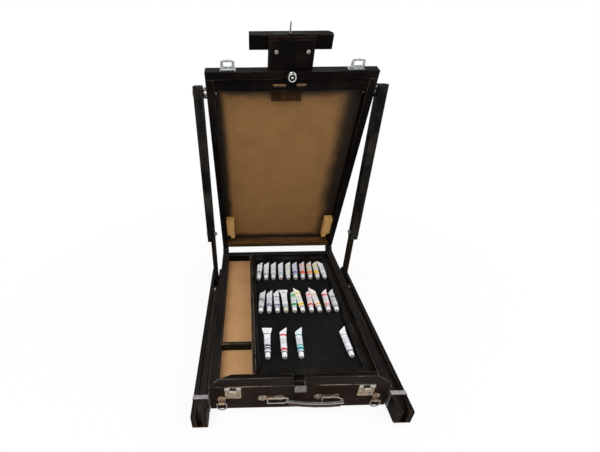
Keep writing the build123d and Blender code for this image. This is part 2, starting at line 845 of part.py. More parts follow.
def mast_board():
    """Mast: a wide head and a narrower tail."""
    head = area((MAST_X - MAST_W / 2, MAST_X + MAST_W / 2), (along(MAST_TOP), along(MAST_SHOULDER)))
    tail = area((TAIL_X - TAIL_W / 2, TAIL_X + TAIL_W / 2), (along(MAST_SHOULDER), along(MAST_TAIL)))
    front = MAST_FACE_T + MAST_PLATE_T
    return slab_z(head + tail, (deep(front), deep(front + MAST_BOARD_T)))


def mast_plate():
    """Thinner plate on the front of the mast."""
    return board(
        (MAST_X + 1 - PLATE_W / 2, MAST_X + 1 + PLATE_W / 2),
        (along(PLATE_TOP), along(PLATE_BOTTOM)),
        (deep(MAST_FACE_T), deep(MAST_FACE_T + MAST_PLATE_T)),
        0.5,
    )


def crosspiece():
    """Bar across the back of the mast with one corner cut off."""
    front = MAST_FACE_T + MAST_PLATE_T + MAST_BOARD_T
    left = CROSS_X - CROSS_W / 2
    right = CROSS_X + CROSS_W / 2
    plan = outline(
        (left, deep(front)),
        (right, deep(front)),
        (right, deep(front + CROSS_D - CROSS_CUT[1])),
        (right - CROSS_CUT[0], deep(front + CROSS_D)),
        (left, deep(front + CROSS_D)),
    )
    return slab_y(plan, (along(CROSS_TOP), along(CROSS_TOP - CROSS_H)))


def mast_screws():
    """Two round-head screws through the plate."""
    screws = []
    for x in SCREWS_X:
        seat = (Align.CENTER, Align.CENTER, Align.MAX)
        head = Pos(x, along(SCREW_S), deep(MAST_FACE_T)) * Sphere(SCREW_R, -90, 0, align=seat)
        screws.append(head)
    return screws


def spike():
    """Steel pin with a small collar that holds a canvas on the crosspiece."""
    z = deep(MAST_FACE_T + MAST_PLATE_T + MAST_BOARD_T + 6)
    shank_top = CROSS_TOP + SPIKE_L - SPIKE_POINT
    pin = rod_y(SPIKE_R, SPIKE_X, (along(shank_top), along(CROSS_TOP)), z)
    point = Cone(SPIKE_R, SPIKE_R / 5, SPIKE_POINT)
    pin += Pos(SPIKE_X, along(shank_top + SPIKE_POINT / 2), z) * Rot(90, 0, 0) * point
    return pin + rod_y(COLLAR_R, SPIKE_X, (along(CROSS_TOP + COLLAR_L), along(CROSS_TOP)), z)


def mast_knob():
    """Chrome knob with a dished face and a flange, whose screw presses on the mast."""
    y = along(KNOB_S)
    low = deep(-1.8)
    face = low - KNOB_H
    cap = rod_z(KNOB_R - 0.7, 0, y, (face, low))
    cap = fillet(cap.edges().filter_by(GeomType.CIRCLE).sort_by(Axis.Z)[:1], 1.5)
    dish = rod_z(KNOB_R - 3, 0, y, (face - 1, face + KNOB_DISH))
    cap -= dish - rod_z(PIN_R - 0.4, 0, y, (face, low))
    flange = rod_z(KNOB_R, 0, y, (low, deep(-BOLT_GAP)))
    return cap + flange + rod_z(PIN_R, 0, y, (low, deep(MAST_FACE_T - RIM_GAP)))


def latch_plate():
    """Plate of the latch on the end of the lid, with its knuckles and pin."""
    x = (LATCH_X - LATCH_W / 2, LATCH_X + LATCH_W / 2)
    axis_z = deep(KNUCKLE_T)
    plate = block(x, (-SHEET, 0), (deep(LATCH_PLATE_T[0]), deep(LATCH_PLATE_T[1])))
    screw_x, screw_t = LATCH_SCREW
    for offset in (-screw_x, screw_x):
        plate += rod_y(SMALL_HEAD_R, LATCH_X + offset, (-SHEET - SMALL_HEAD_H, -SHEET), deep(screw_t))
    knuckle_end = LATCH_W / 2 - 2
    for side in ((-knuckle_end, -LEAF_NECK - 0.5), (LEAF_NECK + 0.5, knuckle_end)):
        knuckle = (LATCH_X + side[0], LATCH_X + side[1])
        plate += rod_x(KNUCKLE_R, knuckle, -KNUCKLE_OUT, axis_z)
        plate += block(knuckle, (-KNUCKLE_OUT, -SHEET / 2), (axis_z - 1, axis_z + 1.4))
    return plate + rod_x(SHEET, (LATCH_X - LEAF_NECK - 3, LATCH_X + LEAF_NECK + 3), -KNUCKLE_OUT, axis_z)


def hasp():
    """Swinging hasp with a window that drops over the catch and a small crown."""
    x0 = LATCH_X
    y0 = -KNUCKLE_OUT
    half = LATCH_W / 2 - 1.5
    end = y0 - HASP_L
    shape = outline(
        (x0 - half, y0 - 5),
        (x0 + half, y0 - 5),
        (x0 + half - 1, end + 3),
        (x0 + 9, end + 1),
        (x0 - 9, end + 1),
        (x0 - half + 1, end + 3),
    )
    shape += Pos(x0, end + 4) * Circle(4)
    shape += area((x0 - LEAF_NECK, x0 + LEAF_NECK), (y0 - 6, y0))
    near, far = HASP_WINDOW
    window = Pos(x0, y0 - (near + far) / 2) * RectangleRounded(2 * HOOK_HALF_W + 4, far - near, 1.5)
    axis_z = deep(KNUCKLE_T)
    leaf = slab_z(shape - window, (axis_z - HASP_T / 2, axis_z + HASP_T / 2))
    leaf += rod_x(KNUCKLE_R, (x0 - LEAF_NECK, x0 + LEAF_NECK), y0, axis_z)
    return leaf - rod_x(SHEET + RUNNING, (x0 - LEAF_NECK - 1, x0 + LEAF_NECK + 1), y0, axis_z)


# The stays


def dome_bolt(x, y, z, inner_x):
    """Bolt along x with a domed head outside."""
    shank = rod_x(BOLT_R, (inner_x, x), y, z)
    head = Pos(x, y, z) * Rot(0, 90, 0) * Cone(BOLT_HEAD_R, BOLT_HEAD_R - BOLT_DOME, BOLT_HEAD_H, align=(
        Align.CENTER, Align.CENTER, Align.MIN))
    return shank + head


def wing_nut(x, y, z, turn):
    """Wing nut along x: a tapered boss and two upright wings."""
    height = x[1] - x[0]
    boss = Pos(x[0], y, z) * Rot(0, 90, 0) * Cone(6.5, 5.2, height, align=(
        Align.CENTER, Align.CENTER, Align.MIN))
    wing = Pos(10, 0) * Circle(4.6) + area((0, 10), (-2.6, 3.2))
    wings = slab_y(wing + mirror(wing, about=Plane.YZ), (-1.1, 1.1))
    wings = Pos((x[0] + x[1]) / 2, y, z) * Rot(turn, 0, 0) * Rot(0, 90, 0) * Rot(0, 0, 90) * wings
    keep = block((x[0], x[1]), (y - 20, y + 20), (z - 20, z + 20))
    return (boss + wings & keep) - rod_x(BOLT_R + RUNNING, (x[0] - 1, x[1] + 1), y, z)


def stay_outer():
    """Outer stay: a grooved bar that hangs from the bolt in the lid."""
    bar = board(
        (SLAT_X, SLAT_X + STAY_W),
        (STAY_Y - STAY_DEPTH / 2, STAY_Y + STAY_DEPTH / 2),
        (STAY_FOOT_Z, STAY_Z + STAY_ABOVE),
        1.5,
    )
    half = STAY_SLAT_DEPTH / 2 + STAY_GROOVE_PLAY
    groove_top = STAY_FOOT_Z + STAY_OVERLAP + STAY_TRAVEL + 10
    bar -= block(
        (SLAT_X - 1, SLAT_X + SLAT_W + STAY_GROOVE_PLAY),
        (STAY_Y - half, STAY_Y + half),
        (STAY_FOOT_Z - 1, groove_top),
    )
    bar -= rod_x(BOLT_R + RUNNING, (SLAT_X - 1, SLAT_X + STAY_W + 1), STAY_Y, STAY_Z)
    return bar - rod_x(CLAMP_R, (SLAT_X, SLAT_X + STAY_W + 1), STAY_Y, STAY_FOOT_Z + CLAMP_UP)


def stay_slat():
    """Inner stay: a slat with a clamp slot and a hooked foot for the leg bolt."""
    half = STAY_SLAT_DEPTH / 2
    top = STAY_FOOT_Z + STAY_OVERLAP
    side = area((STAY_Y - half, STAY_Y + half), (PIVOT_Z, top)) + Pos(STAY_Y, PIVOT_Z) * Circle(half)
    clamp_z = STAY_FOOT_Z + CLAMP_UP
    end = CLAMP_R + SLOT_SPARE
    low = clamp_z - STAY_TRAVEL - end
    high = clamp_z + end
    slot_shape = SlotOverall(high - low, 2 * CLAMP_R + 1)
    slot = Pos(STAY_Y, (low + high) / 2) * Rot(0, 0, 90) * slot_shape
    mouth = BOLT_R + BOLT_GAP
    hook = Pos(STAY_Y, PIVOT_Z) * Circle(mouth)
    hook += area((STAY_Y - half - 1, STAY_Y), (PIVOT_Z - mouth, PIVOT_Z + mouth))
    return slab_x(side - slot - hook, (SLAT_X, SLAT_X + SLAT_W))


def stay_clamp():
    """Clamp bolt of the stay with a domed head outside and a washer inside."""
    z = STAY_FOOT_Z + CLAMP_UP
    outer = SLAT_X + STAY_W
    inner = SLAT_X - WASHER_R
    seat = (Align.CENTER, Align.CENTER, Align.MIN)
    bolt = rod_x(CLAMP_R, (inner, outer), STAY_Y, z)
    bolt += Pos(outer, STAY_Y, z) * Rot(0, 90, 0) * Cone(*CLAMP_HEAD, align=seat)
    bolt += rod_x(WASHER_R, (SLAT_X - NUT_SEAT, SLAT_X - BOLT_GAP), STAY_Y, z)
    nut = extrude(RegularPolygon(NUT_R, 6), SLAT_X - NUT_SEAT - inner - NUT_SEAT)
    return bolt + Pos(inner + NUT_SEAT, STAY_Y, z) * Rot(0, 90, 0) * nut


def stay_bolt():
    """Bolt from inside the lid through the stay, drawn with the lid shut."""
    y = along(STAY_S)
    z = deep(STAY_T)
    nut_h = 3.5
    bolt = dome_bolt(SLAT_X + STAY_W + BOLT_GAP, y, z, LID_INNER - nut_h - 0.5)
    nut = Pos(LID_INNER - nut_h, y, z) * Rot(0, 90, 0) * extrude(RegularPolygon(NUT_R, 6), nut_h)
    return bolt + nut


def stay_wing_nut():
    """Wing nut between the lid and the stay, drawn with the lid shut."""
    return wing_nut((HALF_W + 0.4, SLAT_X - 0.5), along(STAY_S), deep(STAY_T), 20)


# The side legs


def leg_side_outline():
    """Side view of a leg: rounded toe in front and a round head behind."""
    radius = LEG_H / 2
    bar = area((-LEG_NOSE, LEG_HEAD_Y - radius), (LEG_Z, LEG_Z + LEG_H))
    bar += Pos(LEG_HEAD_Y - radius, LEG_Z + radius) * Circle(radius)
    top = bar.vertices().filter_by(lambda v: v.X < -LEG_NOSE + 1 and v.Y > LEG_Z + 1)
    bar = chamfer(top, LEG_TOP_EASE)
    toe = bar.vertices().filter_by(lambda v: v.X < -LEG_NOSE + 1 and v.Y < LEG_Z + 1)
    return fillet(toe, LEG_TOE_R)


def leg_cheeks():
    """The two cheeks of a leg's channel."""
    inner = slab_x(leg_side_outline(), (LEG_X, LEG_X + LEG_INNER_CHEEK))
    outer = slab_x(leg_side_outline(), (SLAT_X + SLAT_W + SLAT_PLAY, LEG_OUT_X))
    bore = rod_x(BOLT_R + RUNNING, (LEG_X - 1, LEG_OUT_X + 1), STAY_Y, PIVOT_Z)
    return [inner - bore, outer - bore]


def leg_web():
    """The floor of a leg's channel."""
    x = (SLAT_X - SLAT_PLAY, SLAT_X + SLAT_W + SLAT_PLAY)
    side = leg_side_outline() & area((-LEG_NOSE - 1, LEG_HEAD_Y - LEG_H / 2), (LEG_Z, LEG_Z + LEG_WEB))
    return slab_x(side, x)


def leg_slat():
    """Inner leg that slides out of the channel, with a rounded foot."""
    low = LEG_Z + LEG_WEB + BOLT_GAP
    high = low + LEG_SLAT_H
    end = LEG_SLAT_L - LEG_SLAT_NOSE
    side = area((-LEG_SLAT_NOSE + LEG_FOOT_R, end), (low, high))
    side += area((-LEG_SLAT_NOSE, 0), (low, high - LEG_FOOT_R))
    side += Pos(-LEG_SLAT_NOSE + LEG_FOOT_R, high - LEG_FOOT_R) * Circle(LEG_FOOT_R)
    return slab_x(side, (SLAT_X, SLAT_X + SLAT_W))


def leg_band():
    """Steel band round the mouth of the channel."""
    x = (LEG_X - BAND_T + 0.2, LEG_OUT_X + BAND_T)
    outer = block(x, (-BAND_W, -0.5), (LEG_Z - BAND_T, LEG_Z + LEG_H + BAND_T))
    hollow = block((LEG_X, LEG_OUT_X), (-BAND_W - 1, 1), (LEG_Z, LEG_Z + LEG_H))
    return outer - hollow


def leg_stop_screw():
    """Round-head screw on the inner leg that stops it at the band."""
    top = LEG_Z + LEG_WEB + BOLT_GAP + LEG_SLAT_H
    seat = (Align.CENTER, Align.CENTER, Align.MIN)
    return Pos(SLAT_X + SLAT_W / 2, STOP_SCREW_Y, top) * Sphere(STOP_SCREW_R, 0, 90, align=seat)


def leg_bolt():
    """Bolt that the leg turns on, with its nut let into the box wall."""
    inner = HALF_W - WALL
    bolt = dome_bolt(LEG_OUT_X + BOLT_GAP, STAY_Y, PIVOT_Z, inner)
    return bolt + rod_x(BOLT_HEAD_R, (inner, inner + NUT_SEAT), STAY_Y, PIVOT_Z)


# The leg under the box


def rear_leg():
    """Plain leg folded under the box, rounded at its pivot."""
    head_r = REAR_LEG_Z + REAR_LEG_H - REAR_PIVOT_Z
    side = area((REAR_LEG_FRONT, REAR_PIVOT_Y), (REAR_LEG_Z, REAR_LEG_Z + REAR_LEG_H))
    side += Pos(REAR_PIVOT_Y, REAR_PIVOT_Z) * Circle(head_r) & area(
        (REAR_PIVOT_Y - 1, BOX_D), (REAR_LEG_Z, BOX_D))
    foot = side.vertices().filter_by(lambda v: v.X < REAR_LEG_FRONT + 1)
    side = fillet(foot, REAR_FOOT_R)
    leg = slab_x(side, (-REAR_LEG_W / 2, REAR_LEG_W / 2))
    return leg - rod_x(BOLT_R + RUNNING, (-REAR_LEG_W, REAR_LEG_W), REAR_PIVOT_Y, REAR_PIVOT_Z)


def rear_leg_bracket():
    """Cheek under the box beside the head of the rear leg."""
    x0 = REAR_LEG_W / 2 + REAR_GAP
    cheek = board((x0, x0 + BRACKET_T), (BOX_D - WALL - BRACKET_D, BOX_D - WALL), (BRACKET_Z, BOTTOM_Z))
    return cheek - rod_x(BOLT_R, (x0 - 1, x0 + BRACKET_T + 1), REAR_PIVOT_Y, REAR_PIVOT_Z)


def rear_leg_bolt():
    """Bolt through the rear leg and its two cheeks."""
    end = REAR_LEG_W / 2 + REAR_GAP + BRACKET_T
    bolt = rod_x(BOLT_R, (-end, end), REAR_PIVOT_Y, REAR_PIVOT_Z)
    for side in (-1, 1):
        x = sorted((side * end, side * (end + BOLT_HEAD_H)))
        bolt += rod_x(WASHER_R, x, REAR_PIVOT_Y, REAR_PIVOT_Z)
    return bolt


def box_parts():
    """Walls, floors and strips of the box."""
    write("front_wall", front_wall())
    write("rear_wall", rear_wall())
    write("right_wall", right_wall())
    write("left_wall", other_side(right_wall()))
    write("bottom_panel", bottom_panel())
    write("inner_battens", front_ledge(), side_ledge(), insert_rest(), *floor_battens())
    write("long_partition", partition())
    write("well_floor", well_floor())
    write("well_divider", divider())
    write("corner_plates", *corner_plates())
    write("hinge_pins", *both_sides(hinge_pin()))


def insert_parts():
    """Lift-out insert and the paint tubes on it."""
    write("insert_frame", *insert_frame())
    write("insert_board", insert_board())
    small = tube_places(TUBES, TUBE_GAPS)
    big = tube_places(BIG_TUBES, BIG_GAPS)
    _, (near, far) = insert_hole()
    front_y = near + FRONT_ROW_GAP
    back_y = far - BACK_ROW_GAP - CAP_L - TUBE_SHOULDER - TUBE_BODY - CRIMP_L
    middle_y = (front_y + back_y) / 2 + 1.5
    front_x = [big[place] for place in FRONT_FILLED]
    rows = {
        "back": tube_row(small, BACK_LEANS, BACK_TIPS, back_y),
        "middle": tube_row(small, MIDDLE_LEANS, MIDDLE_TIPS, middle_y, MIDDLE_PROPPED),
        "front": tube_row(front_x, FRONT_LEANS, FRONT_TIPS, front_y, folded_w=FRONT_FOLDED_W),
    }
    for name, (bodies, _) in rows.items():
        write(f"tubes_{name}_row", *bodies)
    write("tube_caps", *[cap for _, caps in rows.values() for cap in caps])


def front_parts():
    """Metal fittings on the front wall and the handle."""
    write("keep_plate", keep_plate())
    write("keeper_plates", *both_sides(keeper_plate()))
    write("keeper_hooks", *both_sides(keeper_hook()))
    write("ring_plates", *both_sides(ring_plate()))
    write("strap_ring_right", strap_ring())
    write("strap_ring_left", other_side(strap_ring()))
    write("handle_plates", *[plate - handle_bore() for plate in both_sides(handle_plate())])
    write("handle_grip", handle_grip())
    write("handle_fittings", handle_strip(), *handle_loops())


def lid_parts():
    """Frame and panel of the lid, its latches and the mast."""
    write("lid_stile_right", opened(lid_side()))
    write("lid_stile_left", opened(other_side(lid_side())))
    write("lid_top_rail", opened(lid_top_rail()))
    write("lid_bottom_rail", opened(lid_bottom_rail()))
    write("lid_panel", opened(lid_panel()))
    write("lid_blocks", *[opened(piece) for piece in both_sides(lid_block())])
    write("mast_guide", opened(mast_guide()))
    write("mast_board", opened(mast_board()))
    write("mast_plate", opened(mast_plate()))
    write("mast_crosspiece", opened(crosspiece()))
    write("mast_screws", *[opened(screw) for screw in mast_screws()])
    write("canvas_spike", opened(spike()))
    write("mast_knob", opened(mast_knob()))
    write("latch_plates", *[opened(piece) for piece in both_sides(latch_plate())])
    write("hasp_right", opened(hasp()))
    write("hasp_left", opened(other_side(hasp())))
    write("stay_bolts", *[opened(piece) for piece in both_sides(stay_bolt())])
    write("wing_nut_right", opened(stay_wing_nut()))
    write("wing_nut_left", opened(other_side(stay_wing_nut())))


def side_parts():
    """Stays and legs on both sides, and the leg underneath."""
    for side, place in (("right", lambda solid: solid), ("left", other_side)):
        write(f"stay_outer_{side}", place(stay_outer()))
        write(f"stay_slat_{side}", place(stay_slat()))
        write(f"stay_clamp_{side}", place(stay_clamp()))
        write(f"leg_channel_{side}", place(leg_web()), *[place(cheek) for cheek in leg_cheeks()])
        write(f"leg_slat_{side}", place(leg_slat()), place(leg_stop_screw()))
        write(f"leg_band_{side}", place(leg_band()))
    write("leg_bolts", rear_leg_bolt(), *both_sides(leg_bolt()))
    write("rear_leg", rear_leg())
    write("rear_leg_brackets", *both_sides(rear_leg_bracket()))


os.makedirs("parts", exist_ok=True)
box_parts()
insert_parts()
front_parts()
lid_parts()
side_parts()
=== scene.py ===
# %% [markdown]
# # Box easel
# A box easel is a flat paint box whose lid stands up to hold a canvas. This lesson
# starts from its finished CAD frame, puts the camera and the light in place, and then
# gives each piece its finish and the detail that the CAD leaves out.

# %% Load the frame
import bpy
import bmesh
import json
import math
from mathutils import Matrix, Vector
from mathutils.noise import noise_vector, seed_set


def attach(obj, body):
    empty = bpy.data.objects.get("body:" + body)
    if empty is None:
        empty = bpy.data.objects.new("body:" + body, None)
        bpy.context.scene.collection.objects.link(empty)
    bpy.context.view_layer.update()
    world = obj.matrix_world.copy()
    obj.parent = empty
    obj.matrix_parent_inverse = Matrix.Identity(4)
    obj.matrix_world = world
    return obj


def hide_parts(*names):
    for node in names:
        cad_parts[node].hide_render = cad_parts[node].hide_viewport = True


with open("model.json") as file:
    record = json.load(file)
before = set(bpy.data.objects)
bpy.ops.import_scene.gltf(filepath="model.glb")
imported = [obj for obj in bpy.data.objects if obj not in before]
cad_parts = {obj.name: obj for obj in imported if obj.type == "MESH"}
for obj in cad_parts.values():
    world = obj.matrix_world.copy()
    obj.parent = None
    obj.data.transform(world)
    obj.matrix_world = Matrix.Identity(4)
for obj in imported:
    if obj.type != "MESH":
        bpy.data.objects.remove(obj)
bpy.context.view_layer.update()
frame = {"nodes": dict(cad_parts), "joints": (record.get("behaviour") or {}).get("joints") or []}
nodes = frame["nodes"]
MM = 0.001

# %% [markdown]
# ## Camera
# The photograph was taken from above the handle side with a short lens. Where the
# camera stood, how far it looked down and how it was rolled come from the straight
# edges of the box. The frame is 600 by 452 pixels, and it was cut from a larger
# picture, which the shift puts back.

# %% Camera
IMAGE_W = 600
IMAGE_H = 452
FOCAL_PX = 310.15
CENTRE_PX = (252.7, 270.9)
CAMERA_PLACE = (-0.10146, -0.65741, 0.62816)
CAMERA_YAW = math.radians(0.8258)
CAMERA_DOWN = math.radians(34.194)
CAMERA_ROLL = math.radians(0.567)
SENSOR = 36.0

camera_data = bpy.data.cameras.new("camera")
camera = bpy.data.objects.new("camera", camera_data)
bpy.context.scene.collection.objects.link(camera)
bpy.context.scene.camera = camera
camera_data.sensor_width = SENSOR
camera_data.lens = FOCAL_PX / IMAGE_W * SENSOR
camera_data.shift_x = (IMAGE_W / 2 - CENTRE_PX[0]) / IMAGE_W
camera_data.shift_y = (CENTRE_PX[1] - IMAGE_H / 2) / IMAGE_W
camera_data.clip_start = 0.02
forward = Vector((
    math.sin(CAMERA_YAW) * math.cos(CAMERA_DOWN),
    math.cos(CAMERA_YAW) * math.cos(CAMERA_DOWN),
    -math.sin(CAMERA_DOWN),
))
level_right = Vector((math.cos(CAMERA_YAW), -math.sin(CAMERA_YAW), 0))
level_down = forward.cross(level_right)
image_right = math.cos(CAMERA_ROLL) * level_right + math.sin(CAMERA_ROLL) * level_down
image_down = math.cos(CAMERA_ROLL) * level_down - math.sin(CAMERA_ROLL) * level_right
turn = Matrix((image_right, -image_down, -forward)).transposed()
camera.matrix_world = Matrix.Translation(CAMERA_PLACE) @ turn.to_4x4()
shift = [round(value, 4) for value in (camera_data.shift_x, camera_data.shift_y)]
print("lens", round(camera_data.lens, 2), "shift", shift)

# %% [markdown]
# ## Helpers
# A few small functions serve every cell below. They turn a hex colour to the linear
# values that a shader works with, add a node with its settings and links, start an empty
# material, and make an object from a bmesh and leave it at the origin.

# %% Helpers
RGBA = {"data_type": "RGBA"}
SMOOTH = {"interpolation_type": "SMOOTHSTEP"}
MULTIPLY = {"operation": "MULTIPLY"}
SUBTRACT = {"operation": "SUBTRACT"}


def channels(text):
    """Red, green and blue, 0 to 255, from a hex value."""
    return [int(text[i:i + 2], 16) for i in (1, 3, 5)]


def linear(text):
    """Linear RGBA from an sRGB hex value."""
    parts = [value / 255 for value in channels(text)]
    return [c / 12.92 if c < 0.04045 else ((c + 0.055) / 1.055) ** 2.4 for c in parts] + [1.0]


def add(tree, kind, settings=None, **links):
    """Add a node with its settings. Its kind is the type's name after ShaderNode.

    Each link is a value, a socket, or a node's result.
    """
    node = tree.nodes.new("ShaderNode" + kind)
    for name, value in (settings or {}).items():
        setattr(node, name, value)
    for name, value in links.items():
        socket = node.inputs[int(name[1:]) if name[0] == "_" else name.replace("_", " ")]
        if isinstance(value, bpy.types.Node):
            value = next(out for out in value.outputs if out.enabled)
        if isinstance(value, bpy.types.NodeSocket):
            tree.links.new(value, socket)
        else:
            socket.default_value = value
    return node


def new_material(name):
    """An empty node material and its tree."""
    material = bpy.data.materials.new(name)
    material.use_nodes = True
    material.node_tree.nodes.clear()
    return material, material.node_tree


def mesh_object(name, bm):
    """A mesh object at the origin from a bmesh."""
    mesh = bpy.data.meshes.new(name)
    bm.to_mesh(mesh)
    bm.free()
    thing = bpy.data.objects.new(name, mesh)
    bpy.context.scene.collection.objects.link(thing)
    return thing


print("mid grey is", [round(c, 3) for c in linear("#808080")])

# %% [markdown]
# ## Stage
# The photograph has a pure white ground. A large floor glows white for the camera and
# for reflections, through Light Path. A small share of it stays plain paper near the
# box, which keeps its soft shadow. The light that reaches the object only sees the
# plain paper.

# %% Stage
STAGE_SIZE = 6.0
PAPER = "#f1f1f1"
GLOW_SHARE = 0.88
PAPER_NEAR = 0.35
PAPER_FAR = 1.1


def seen_directly(tree):
    """1 on rays from the camera, and on rays that a mirror or a glass passes on."""
    path = add(tree, "LightPath").outputs
    seen = path["Is Camera Ray"]
    for kind in ("Is Glossy Ray", "Is Transmission Ray"):
        seen = add(tree, "Math", {"operation": "MAXIMUM"}, _0=seen, _1=path[kind])
    return seen


ground, tree = new_material("white_paper")
seen = seen_directly(tree)
place = add(tree, "TexCoord").outputs["Object"]
reach = add(tree, "VectorMath", {"operation": "LENGTH"}, _0=place).outputs["Value"]
level = add(tree, "MapRange", SMOOTH, _0=reach, _1=PAPER_NEAR, _2=PAPER_FAR, _3=GLOW_SHARE, _4=1.0)
share = add(tree, "Math", MULTIPLY, _0=seen, _1=level)
paper = add(tree, "BsdfDiffuse", Color=linear(PAPER))
glow = add(tree, "Emission", Color=(1, 1, 1, 1), Strength=1.0)
mix = add(tree, "MixShader", _0=share, _1=paper, _2=glow)
add(tree, "OutputMaterial", Surface=mix)

bm = bmesh.new()
bmesh.ops.create_grid(bm, x_segments=1, y_segments=1, size=STAGE_SIZE)
floor = mesh_object("floor", bm)
floor.data.materials.append(ground)
print("floor", 2 * STAGE_SIZE, "m wide")

# %% [markdown]
# ## Light
# The light is soft and comes from above. An even white sky gives most of it. A large
# key lamp stands in front on the left, and a weaker lamp fills the right side.

# %% Light
SKY_STRENGTH = 0.62
LAMP_AIM = Vector((0, 0, 0.2))
LAMPS = (
    ("key_lamp", (-0.9, -1.3, 2.2), 1.6, 34),
    ("fill_lamp", (1.6, -0.6, 1.2), 1.4, 12),
)

world = bpy.data.worlds.new("studio")
bpy.context.scene.world = world
world.use_nodes = True
tree = world.node_tree
tree.nodes.clear()
seen = seen_directly(tree)
sky = add(tree, "Background", Color=(1, 1, 1, 1), Strength=SKY_STRENGTH)
white = add(tree, "Background", Color=(1, 1, 1, 1), Strength=1.0)
mix = add(tree, "MixShader", _0=seen, _1=sky, _2=white)
add(tree, "OutputWorld", Surface=mix)

for name, place, size, power in LAMPS:
    light = bpy.data.lights.new(name, "AREA")
    light.size = size
    light.energy = power
    lamp = bpy.data.objects.new(name, light)
    lamp.location = place
    lamp.rotation_euler = (LAMP_AIM - Vector(place)).to_track_quat("-Z", "Y").to_euler()
    bpy.context.scene.collection.objects.link(lamp)
print("lamps", [name for name, *_ in LAMPS])

# %% [markdown]
# ## Lid frame
# The lid is a flat frame that leans back from its hinges. Patterns on it have to run
# along its own boards, so a Mapping node turns the object coordinates back to where
# the lid would be when it is shut.

# %% Lid frame
LID_ANGLE = math.radians(73.56)
lid_joint = next(joint for joint in frame["joints"] if joint["name"] == "lid_tilt")
HINGE = Vector(lid_joint["pos_m"])
closing = Matrix.Rotation(LID_ANGLE, 3, "X")
lid_shift = HINGE - closing @ HINGE
print("hinge", [round(v, 4) for v in HINGE])

# %% [markdown]
# ## Where a pattern lies
# Grain runs along its own board. A Mapping node turns the object coordinates of the
# lid's pieces back to the shut lid, where every board lies along an axis. A mitred
# frame is one CAD piece with bars both ways, so x and y are exchanged on the bars that
# run along x. The mitre lies where a point is as far from one pair of sides as from the
# other.

# %% Where a pattern lies
def pattern_space(tree, on_lid=False):
    """Object coordinates, turned back to the shut lid where the piece is on it."""
    place = add(tree, "TexCoord").outputs["Object"]
    if not on_lid:
        return place
    return add(tree, "Mapping", Vector=place, Location=lid_shift,
               Rotation=(LID_ANGLE, 0, 0)).outputs[0]


def mitred_space(tree, space, thing):
    """The same space, with x and y exchanged on the bars of a frame that run along x."""
    parts = add(tree, "SeparateXYZ", Vector=space).outputs
    inside = []
    for axis in (0, 1):
        low, high = thing.bound_box[0][axis], thing.bound_box[6][axis]
        away = add(tree, "Math", SUBTRACT, _0=parts[axis], _1=(low + high) / 2)
        away = add(tree, "Math", {"operation": "ABSOLUTE"}, _0=away)
        inside.append(add(tree, "Math", SUBTRACT, _0=away, _1=(high - low) / 2))
    across = add(tree, "Math", {"operation": "GREATER_THAN"}, _0=inside[1], _1=inside[0])
    swapped = add(tree, "CombineXYZ", X=parts[1], Y=parts[0], Z=parts[2])
    return add(tree, "Mix", {"data_type": "VECTOR"}, _0=across, _4=space, _5=swapped)


def along_board(tree, space, axis, across, along, detail, roughness=0.5):
    """A noise of one size across a board and another along it."""
    scale = [1 / across] * 3
    scale["xyz".index(axis)] = 1 / along
    at = add(tree, "Mapping", Vector=space, Scale=scale)
    return add(tree, "TexNoise", Vector=at, Scale=1.0, Detail=detail, Roughness=roughness)


def tinted(tree, colour, hue, pattern, low, high, most=1.0):
    """A colour, with a second one over it where a pattern rises from low to high."""
    share = add(tree, "MapRange", _0=pattern, _1=low, _2=high, _3=0.0, _4=most)
    return add(tree, "Mix", RGBA, _0=share, _6=colour, _7=linear(hue))


print("the shut lid is moved by", [round(v, 4) for v in lid_shift])

# %% [markdown]
# ## Where the coat is gone
# Hands and other pieces rub the top faces of the walls and the legs. The noses of the
# legs are knocked against door frames, and the mast is rubbed at its lower end. The
# guide of the mast has two shallow slits that the stain never reached. Each function
# gives the share of the coat that is gone.

# %% Where the coat is gone
TOP_FADE = (0.5, 0.1)
SLIT_MIDDLE = (-3 * MM, -236.66 * MM, 79.2 * MM)
SLIT_HALF = (38 * MM, 1.2 * MM, 0.9 * MM)
LEG_NOSE = (-276 * MM, -312 * MM, "#22170f")
MAST_TAB = (-232 * MM, -212 * MM, "#3d2916")


def worn_top(tree, space, height, patch):
    """Near 1 on the face at this height, where hands and other pieces rub it."""
    z = add(tree, "SeparateXYZ", Vector=space).outputs[2]
    level = add(tree, "MapRange", _0=z, _1=(height - TOP_FADE[0]) * MM,
                _2=(height - TOP_FADE[1]) * MM)
    rubbed = add(tree, "MapRange", _0=patch, _1=0.35, _2=0.65, _3=0.25, _4=0.85)
    return add(tree, "Math", MULTIPLY, _0=level, _1=rubbed)


def inside_slits(tree, space):
    """1 inside the two shallow slits of the guide, where the wood was left raw."""
    parts = add(tree, "SeparateXYZ", Vector=space).outputs
    within = [add(tree, "Math", {"operation": "COMPARE"}, _0=part, _1=middle, _2=half)
              for part, middle, half in zip(parts, SLIT_MIDDLE, SLIT_HALF)]
    flat = add(tree, "Math", MULTIPLY, _0=within[0], _1=within[1])
    return add(tree, "Math", MULTIPLY, _0=flat, _1=within[2])


def bare_end(tree, space, patch, start, stop):
    """Near 1 at the end of a board, where its stain is knocked or rubbed off."""
    y = add(tree, "SeparateXYZ", Vector=space).outputs[1]
    near = add(tree, "MapRange", _0=y, _1=start, _2=stop)
    rubbed = add(tree, "MapRange", _0=patch, _1=0.38, _2=0.6, _3=0.25, _4=0.9)
    return add(tree, "Math", MULTIPLY, _0=near, _1=rubbed)


print("bare ends", [round((stop - start) / MM) for start, stop, _ in (LEG_NOSE, MAST_TAB)], "mm")

